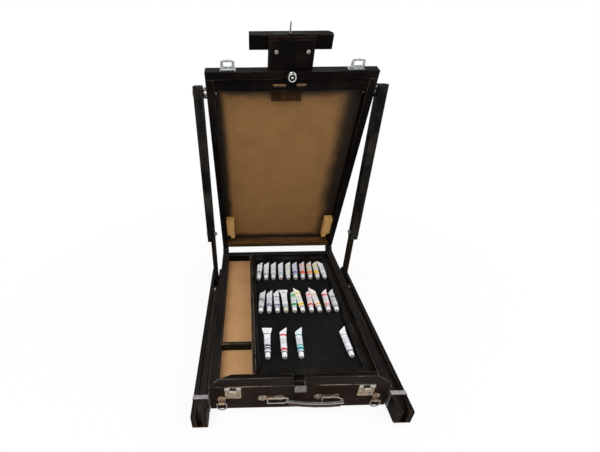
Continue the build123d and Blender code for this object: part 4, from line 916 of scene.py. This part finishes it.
# %% Caps
CAP_POINTS = 48
CAP_R = 5.9 * MM
CAP_TIP_R = 5.3 * MM
RIB = 0.94
TIP_RIM = 1.6 * MM
TIP_DEPTH = 0.5 * MM
CAP_WHITE = "#f0f1f4"
CAP_YELLOWED = "#e2dcbb"
YELLOWED = ("middle", 3)
CAP_TIP = (-1.0, (0.55 * MM - TUBE_START) / BODY_L, "#948e88")
CAP_SMEAR = 6 * MM
CAP_STEPS = ((0.0, 0.93, 1.0), (0.3, 1.0, 1.0), (1.1, 1.0, 1.0), (1.6, 1.0, RIB), (11.0, 1.0, RIB),
             (11.4, 1.0, 1.0), (12.3, 1.0, 1.0), (12.5, 0.9, 1.0))


def cap_bmesh():
    """A ribbed cap with its tip at y = 0."""
    bm = bmesh.new()
    bmesh.ops.create_circle(bm, segments=CAP_POINTS, radius=CAP_TIP_R * CAP_STEPS[0][1])
    bmesh.ops.rotate(bm, verts=bm.verts, matrix=UPRIGHT)
    ring = bm.edges[:]
    for y, size, rib in CAP_STEPS[1:]:
        radius = (CAP_TIP_R + (CAP_R - CAP_TIP_R) * y * MM / CAP_L) * size
        ring = grow_ring(bm, ring, y * MM, radius, radius, 0)
        verts = sorted({vert for edge in ring for vert in edge.verts},
                       key=lambda vert: math.atan2(vert.co.z, vert.co.x))
        for vert in verts:
            vert.co.x *= radius / math.hypot(vert.co.x, vert.co.z)
            vert.co.z *= radius / math.hypot(vert.co.x, vert.co.z)
        bmesh.ops.scale(bm, verts=verts[::2], vec=(rib, 1, rib))
    tip = bmesh.ops.holes_fill(bm, edges=bm.edges, sides=0)["faces"]
    front = [face for face in tip if face.calc_center_median().y < 1 * MM]
    bmesh.ops.inset_region(bm, faces=front, thickness=TIP_RIM, depth=-TIP_DEPTH)
    bmesh.ops.translate(bm, verts=bm.verts, vec=(0, 0, TUBE_R))
    bmesh.ops.recalc_face_normals(bm, faces=bm.faces)
    return bm


whole = bmesh.new()
for name, row, places in ROWS:
    for number, (_, lean, *_) in enumerate(row):
        bm = cap_bmesh()
        white = CAP_YELLOWED if (name, number) == YELLOWED else CAP_WHITE
        paint(bm, (CAP_TIP,), 0, white, shoulder_shade=False)
        place = laid(name, number, places[number], lean)
        bmesh.ops.transform(bm, matrix=place, verts=bm.verts)
        piece_of(bm, whole)
caps = mesh_object("ribbed_caps", whole)
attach(caps, "insert")
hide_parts("tube_caps")

material, tree = new_material("white_polyethylene")
space = pattern_space(tree)
cap_colour = add(tree, "Attribute", {"attribute_name": "paint"}).outputs["Color"]
smear = add(tree, "TexNoise", Vector=space, Scale=1 / CAP_SMEAR, Detail=3.0)
colour = tinted(tree, cap_colour, "#a9a8a6", smear, 0.5, 0.75, 0.35)
rough = add(tree, "MapRange", _0=smear, _1=0.3, _2=0.7, _3=0.35, _4=0.55)
surface = add(tree, "BsdfPrincipled", Base_Color=colour, Roughness=rough, IOR=1.51)
add(tree, "OutputMaterial", Surface=surface)
caps.data.materials.append(material)
print("caps", len(caps.data.polygons), "faces")

# %% [markdown]
# ## Moulded grip
# The grip is dark brown moulded plastic that hangs in a shallow bow below its steel
# strip. A circle is extruded along the bow, and each new ring is squared off to the
# grip's section. It swells a little between the fingers underneath, and closes round at
# both ends.

# %% Moulded grip
GRIP_A = Vector((-23.0, 0, 28.9)) * MM
GRIP_B = Vector((89.5, 0, 21.2)) * MM
GRIP_SAG = 5.5 * MM
GRIP_Y = -9.6 * MM - ORIGIN_Y
GRIP_HALF = (3.5 * MM, 4.75 * MM)
GRIP_STEPS = 64
GRIP_SIDES = 24
FINGERS = 4
FINGER_SWELL = 0.35 * MM
END_ROUND = 3 * MM
END_SIZE = 0.25
PEEL = 3 * MM
GRIP_RUB = 9 * MM


def bow_point(share):
    """A point of the bow and its slope, from its left end to its right end."""
    point = GRIP_A.lerp(GRIP_B, share)
    point.z -= GRIP_SAG * (1 - (2 * share - 1) ** 2)
    slope = (GRIP_B.z - GRIP_A.z + GRIP_SAG * 4 * (2 * share - 1)) / (GRIP_B.x - GRIP_A.x)
    return Vector((point.x, GRIP_Y, point.z)), math.atan(slope)


bm = bmesh.new()
bmesh.ops.create_circle(bm, segments=GRIP_SIDES, radius=1.0)
section = [vert.co.copy() for vert in bm.verts]
ring = bm.edges[:]
verts = bm.verts[:]
for step in range(GRIP_STEPS + 1):
    share = step / GRIP_STEPS
    if step:
        new = bmesh.ops.extrude_edge_only(bm, edges=ring)["geom"]
        ring = of_kind(new, bmesh.types.BMEdge)
        verts = of_kind(new, bmesh.types.BMVert)
    spot, angle = bow_point(share)
    end = min(share, 1 - share) * (GRIP_B.x - GRIP_A.x)
    rounded = math.sqrt(1 - (1 - min(end / END_ROUND, 1.0)) ** 2)
    close = rounded * (1 - END_SIZE) + END_SIZE
    for vert, (u, v, _) in zip(verts, section):
        square = (abs(u) ** 4 + abs(v) ** 4) ** -0.25
        wave = FINGER_SWELL * math.cos(math.tau * FINGERS * share) if v < 0 else 0
        across = u * square * GRIP_HALF[0] * close
        up = v * square * (GRIP_HALF[1] + wave) * close
        vert.co = spot + Vector((-math.sin(angle) * up, across, math.cos(angle) * up))
bmesh.ops.holes_fill(bm, edges=bm.edges, sides=0)
bmesh.ops.recalc_face_normals(bm, faces=bm.faces)
for face in bm.faces:
    face.smooth = True
grip = mesh_object("bowed_grip", bm)
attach(grip, "handle")
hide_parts("handle_grip")

material, tree = new_material("moulded_plastic")
space = pattern_space(tree)
peel = add(tree, "TexNoise", Vector=space, Scale=1 / PEEL, Detail=2.0)
rubbed = add(tree, "TexNoise", Vector=space, Scale=1 / GRIP_RUB, Detail=3.0)
colour = tinted(tree, linear("#29140d"), "#3f2115", rubbed, 0.4, 0.7)
rough = add(tree, "MapRange", _0=rubbed, _1=0.3, _2=0.7, _3=0.35, _4=0.5)
bump = add(tree, "Bump", Height=peel, Strength=0.15, Distance=0.2 * MM)
surface = add(tree, "BsdfPrincipled", Base_Color=colour, Roughness=rough, IOR=1.49,
              Specular_IOR_Level=0.2, Normal=bump)
add(tree, "OutputMaterial", Surface=surface)
grip.data.materials.append(material)
print("grip", len(grip.data.polygons), "faces")

# %% [markdown]
# ## Slotted screws
# The plates are held by round-head screws with a slot, each left at its own angle. A
# profile is spun into a dome. Two cuts with bisect_plane mark the sides of the slot,
# and the strip of faces between them is extruded down. The small heads sit over the
# plain heads of the CAD plates, and the two on the mast replace theirs.

# %% Slotted screws
HEAD_PROFILE = ((1.0, 0.0), (1.0, 0.25), (0.93, 0.55), (0.76, 0.8), (0.45, 0.95), (0.0, 1.0))
HEAD_STEPS = 24


def turned(profile, steps):
    """A bmesh from a profile of (radius, height) points that is spun round z."""
    bm = bmesh.new()
    line = [bm.verts.new((radius, 0, height)) for radius, height in profile]
    edges = [bm.edges.new(pair) for pair in zip(line, line[1:])]
    bmesh.ops.spin(bm, geom=line + edges, axis=(0, 0, 1), cent=(0, 0, 0), angle=math.tau,
                   steps=steps, use_merge=True)
    bmesh.ops.remove_doubles(bm, verts=bm.verts, dist=1e-7)
    return bm


def slotted_head(radius, height, slot, depth):
    """A domed screw head on z = 0, with a slot along x."""
    bm = turned([(radius * r, height * h) for r, h in HEAD_PROFILE], HEAD_STEPS)
    bmesh.ops.holes_fill(bm, edges=bm.edges, sides=0)
    for side in (-1, 1):
        bmesh.ops.bisect_plane(bm, geom=bm.verts[:] + bm.edges[:] + bm.faces[:], dist=1e-7,
                               plane_co=(0, side * slot / 2, 0), plane_no=(0, side, 0))
    bmesh.ops.recalc_face_normals(bm, faces=bm.faces)
    for face in bm.faces:
        face.smooth = face.calc_center_median().z > height * 0.1
    strip = [face for face in bm.faces if abs(face.calc_center_median().y) < slot / 2 * 0.98
             and face.calc_center_median().z > height * 0.3]
    sunk = bmesh.ops.extrude_face_region(bm, geom=strip)["geom"]
    bmesh.ops.translate(bm, verts=of_kind(sunk, bmesh.types.BMVert), vec=(0, 0, -depth))
    bmesh.ops.delete(bm, geom=[face for face in strip if face.is_valid], context="FACES_ONLY")
    return bm


def boxed(x, y, z):
    """A point from box millimetres to the row frame."""
    return Vector((x * MM, y * MM - ORIGIN_Y, z * MM))


opening = Matrix.Rotation(-LID_ANGLE, 4, "X")
opening = Matrix.Translation(HINGE) @ opening @ Matrix.Translation(-HINGE)
to_front = Matrix.Rotation(math.radians(90), 4, "X")
to_below = Matrix.Rotation(math.radians(180), 4, "X")


def screws(name, body, size, y, places, facing, on_lid=False, replaced=None):
    """One object with slotted heads at one depth y and at places (x, z, turn)."""
    whole = bmesh.new()
    for x, z, turn in places:
        bm = slotted_head(*[value * MM for value in size])
        turn = Matrix.Rotation(math.radians(turn), 4, "Z")
        place = Matrix.Translation(boxed(x, y, z)) @ facing @ turn
        if on_lid:
            place = opening @ place
        bmesh.ops.transform(bm, matrix=place, verts=bm.verts)
        piece_of(bm, whole)
    thing = mesh_object(name, whole)
    thing.data.materials.append(steel)
    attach(thing, body)
    if replaced:
        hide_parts(replaced)
    return thing


# %% Screws in their places
SMALL_HEAD = (2.9, 1.3, 0.8, 0.4)
HANDLE_HEAD = (3.6, 1.7, 1.0, 0.5)
MAST_HEAD = (4.6, 3.2, 1.1, 0.9)
STOP_HEAD = (5.0, 4.8, 1.1, 0.15)
FRONT_Y = -1
MAST_Y = -33
STOP_X, STOP_Y, STOP_Z = 206, 365, 46.3

steel = plated("screw_steel", "#a19d96", "#6f6a62", (0.34, 0.5))
screws("keeper_plate_screws", "box", SMALL_HEAD, FRONT_Y,
       ((-148.5, 44, 20), (-130.5, 44, 75), (130.5, 44, -30), (148.5, 44, 10)), to_front)
screws("ring_plate_screws", "box", SMALL_HEAD, FRONT_Y, ((-164.5, 25, 50), (164.5, 25, -15)),
       to_front)
screws("handle_plate_screws", "box", HANDLE_HEAD, FRONT_Y,
       ((-78, 36, 40), (-40, 36, -20), (40, 36, 5), (78, 36, 65)), to_front)
screws("latch_plate_screws", "lid", SMALL_HEAD, FRONT_Y,
       ((-149.5, 90, 15), (-129.5, 90, 80), (129.5, 90, -40), (149.5, 90, 30)), to_front,
       on_lid=True)
screws("mast_round_screws", "mast", MAST_HEAD, MAST_Y, ((-36, 83, 25), (31, 83, -50)), to_below,
       on_lid=True, replaced="mast_screws")
stained = plated("stained_steel", "#6a645b", "#3d3832", (0.45, 0.6))
for side, body in ((-1, "leg_slat_left"), (1, "leg_slat_right")):
    stop = screws(f"stop_screw_of_{body}", body, STOP_HEAD, STOP_Y,
                  ((side * STOP_X, STOP_Z, side * 30),), Matrix.Identity(4))
    if side > 0:
        stop.data.materials[0] = stained

# %% [markdown]
# ## Chrome knob
# The knob under the lid's top rail presses its screw on the mast. It is turned brass
# with a chrome plate: a flange, a ribbed rim for the fingers, a dish, and a bright dome
# in the middle. The dish is painted dark, a painted reflection of dark surroundings in
# its recess. The profile is spun round, and every other step of the rim is pulled in to
# make the ribs.

# %% Chrome knob
KNOB_PROFILE = ((0.0, -9.0), (2.9, -9.0), (2.9, 0.0), (9.6, 0.0), (9.7, 0.3), (9.7, 1.3),
                (9.2, 1.8), (8.8, 2.1), (9.0, 2.6), (9.0, 7.2), (8.7, 8.0), (8.1, 8.4),
                (7.2, 8.4), (6.7, 8.1), (6.5, 7.4), (6.4, 6.5), (2.9, 6.5), (2.7, 7.6),
                (1.9, 8.2), (0.9, 8.45), (0.0, 8.5))
KNOB_STEPS = 72
KNOB_PLACE = (0, 10, 73.7)
KNOB_RIB = 0.95
RIM = (2.5 * MM, 7.3 * MM)
RIM_R = 8.9 * MM
DISH = (2.95 * MM, 6.45 * MM)
DISH_FLOOR = 6 * MM

bm = turned([(radius * MM, height * MM) for radius, height in KNOB_PROFILE], KNOB_STEPS)
bmesh.ops.recalc_face_normals(bm, faces=bm.faces)
for vert in bm.verts:
    step = round(math.atan2(vert.co.y, vert.co.x) / math.tau * KNOB_STEPS)
    radius = math.hypot(vert.co.x, vert.co.y)
    if RIM[0] < vert.co.z < RIM[1] and radius > RIM_R and step % 2:
        vert.co.x *= KNOB_RIB
        vert.co.y *= KNOB_RIB
for face in bm.faces:
    middle = face.calc_center_median()
    radius = math.hypot(middle.x, middle.y)
    face.smooth = not RIM[0] < middle.z < RIM[1]
    # The dish faces take the second material, painted dark as a painted reflection.
    face.material_index = int(DISH[0] < radius < DISH[1] and middle.z > DISH_FLOOR)
place = opening @ Matrix.Translation(boxed(*KNOB_PLACE)) @ to_below
bmesh.ops.transform(bm, matrix=place, verts=bm.verts)
knob = mesh_object("ribbed_knob", bm)
knob.data.materials.append(chrome)
# Dark metal for the dish: painted reflection.
knob.data.materials.append(plated("dark_reflection_dish", "#2c2a27", "#171513", (0.4, 0.6)))
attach(knob, "knob")
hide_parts("mast_knob")
print("knob", len(knob.data.polygons), "faces")

# %% [markdown]
# ## View transform
# The render shows its colours through the Standard view transform.

# %% View transform
bpy.context.scene.view_settings.view_transform = "Standard"
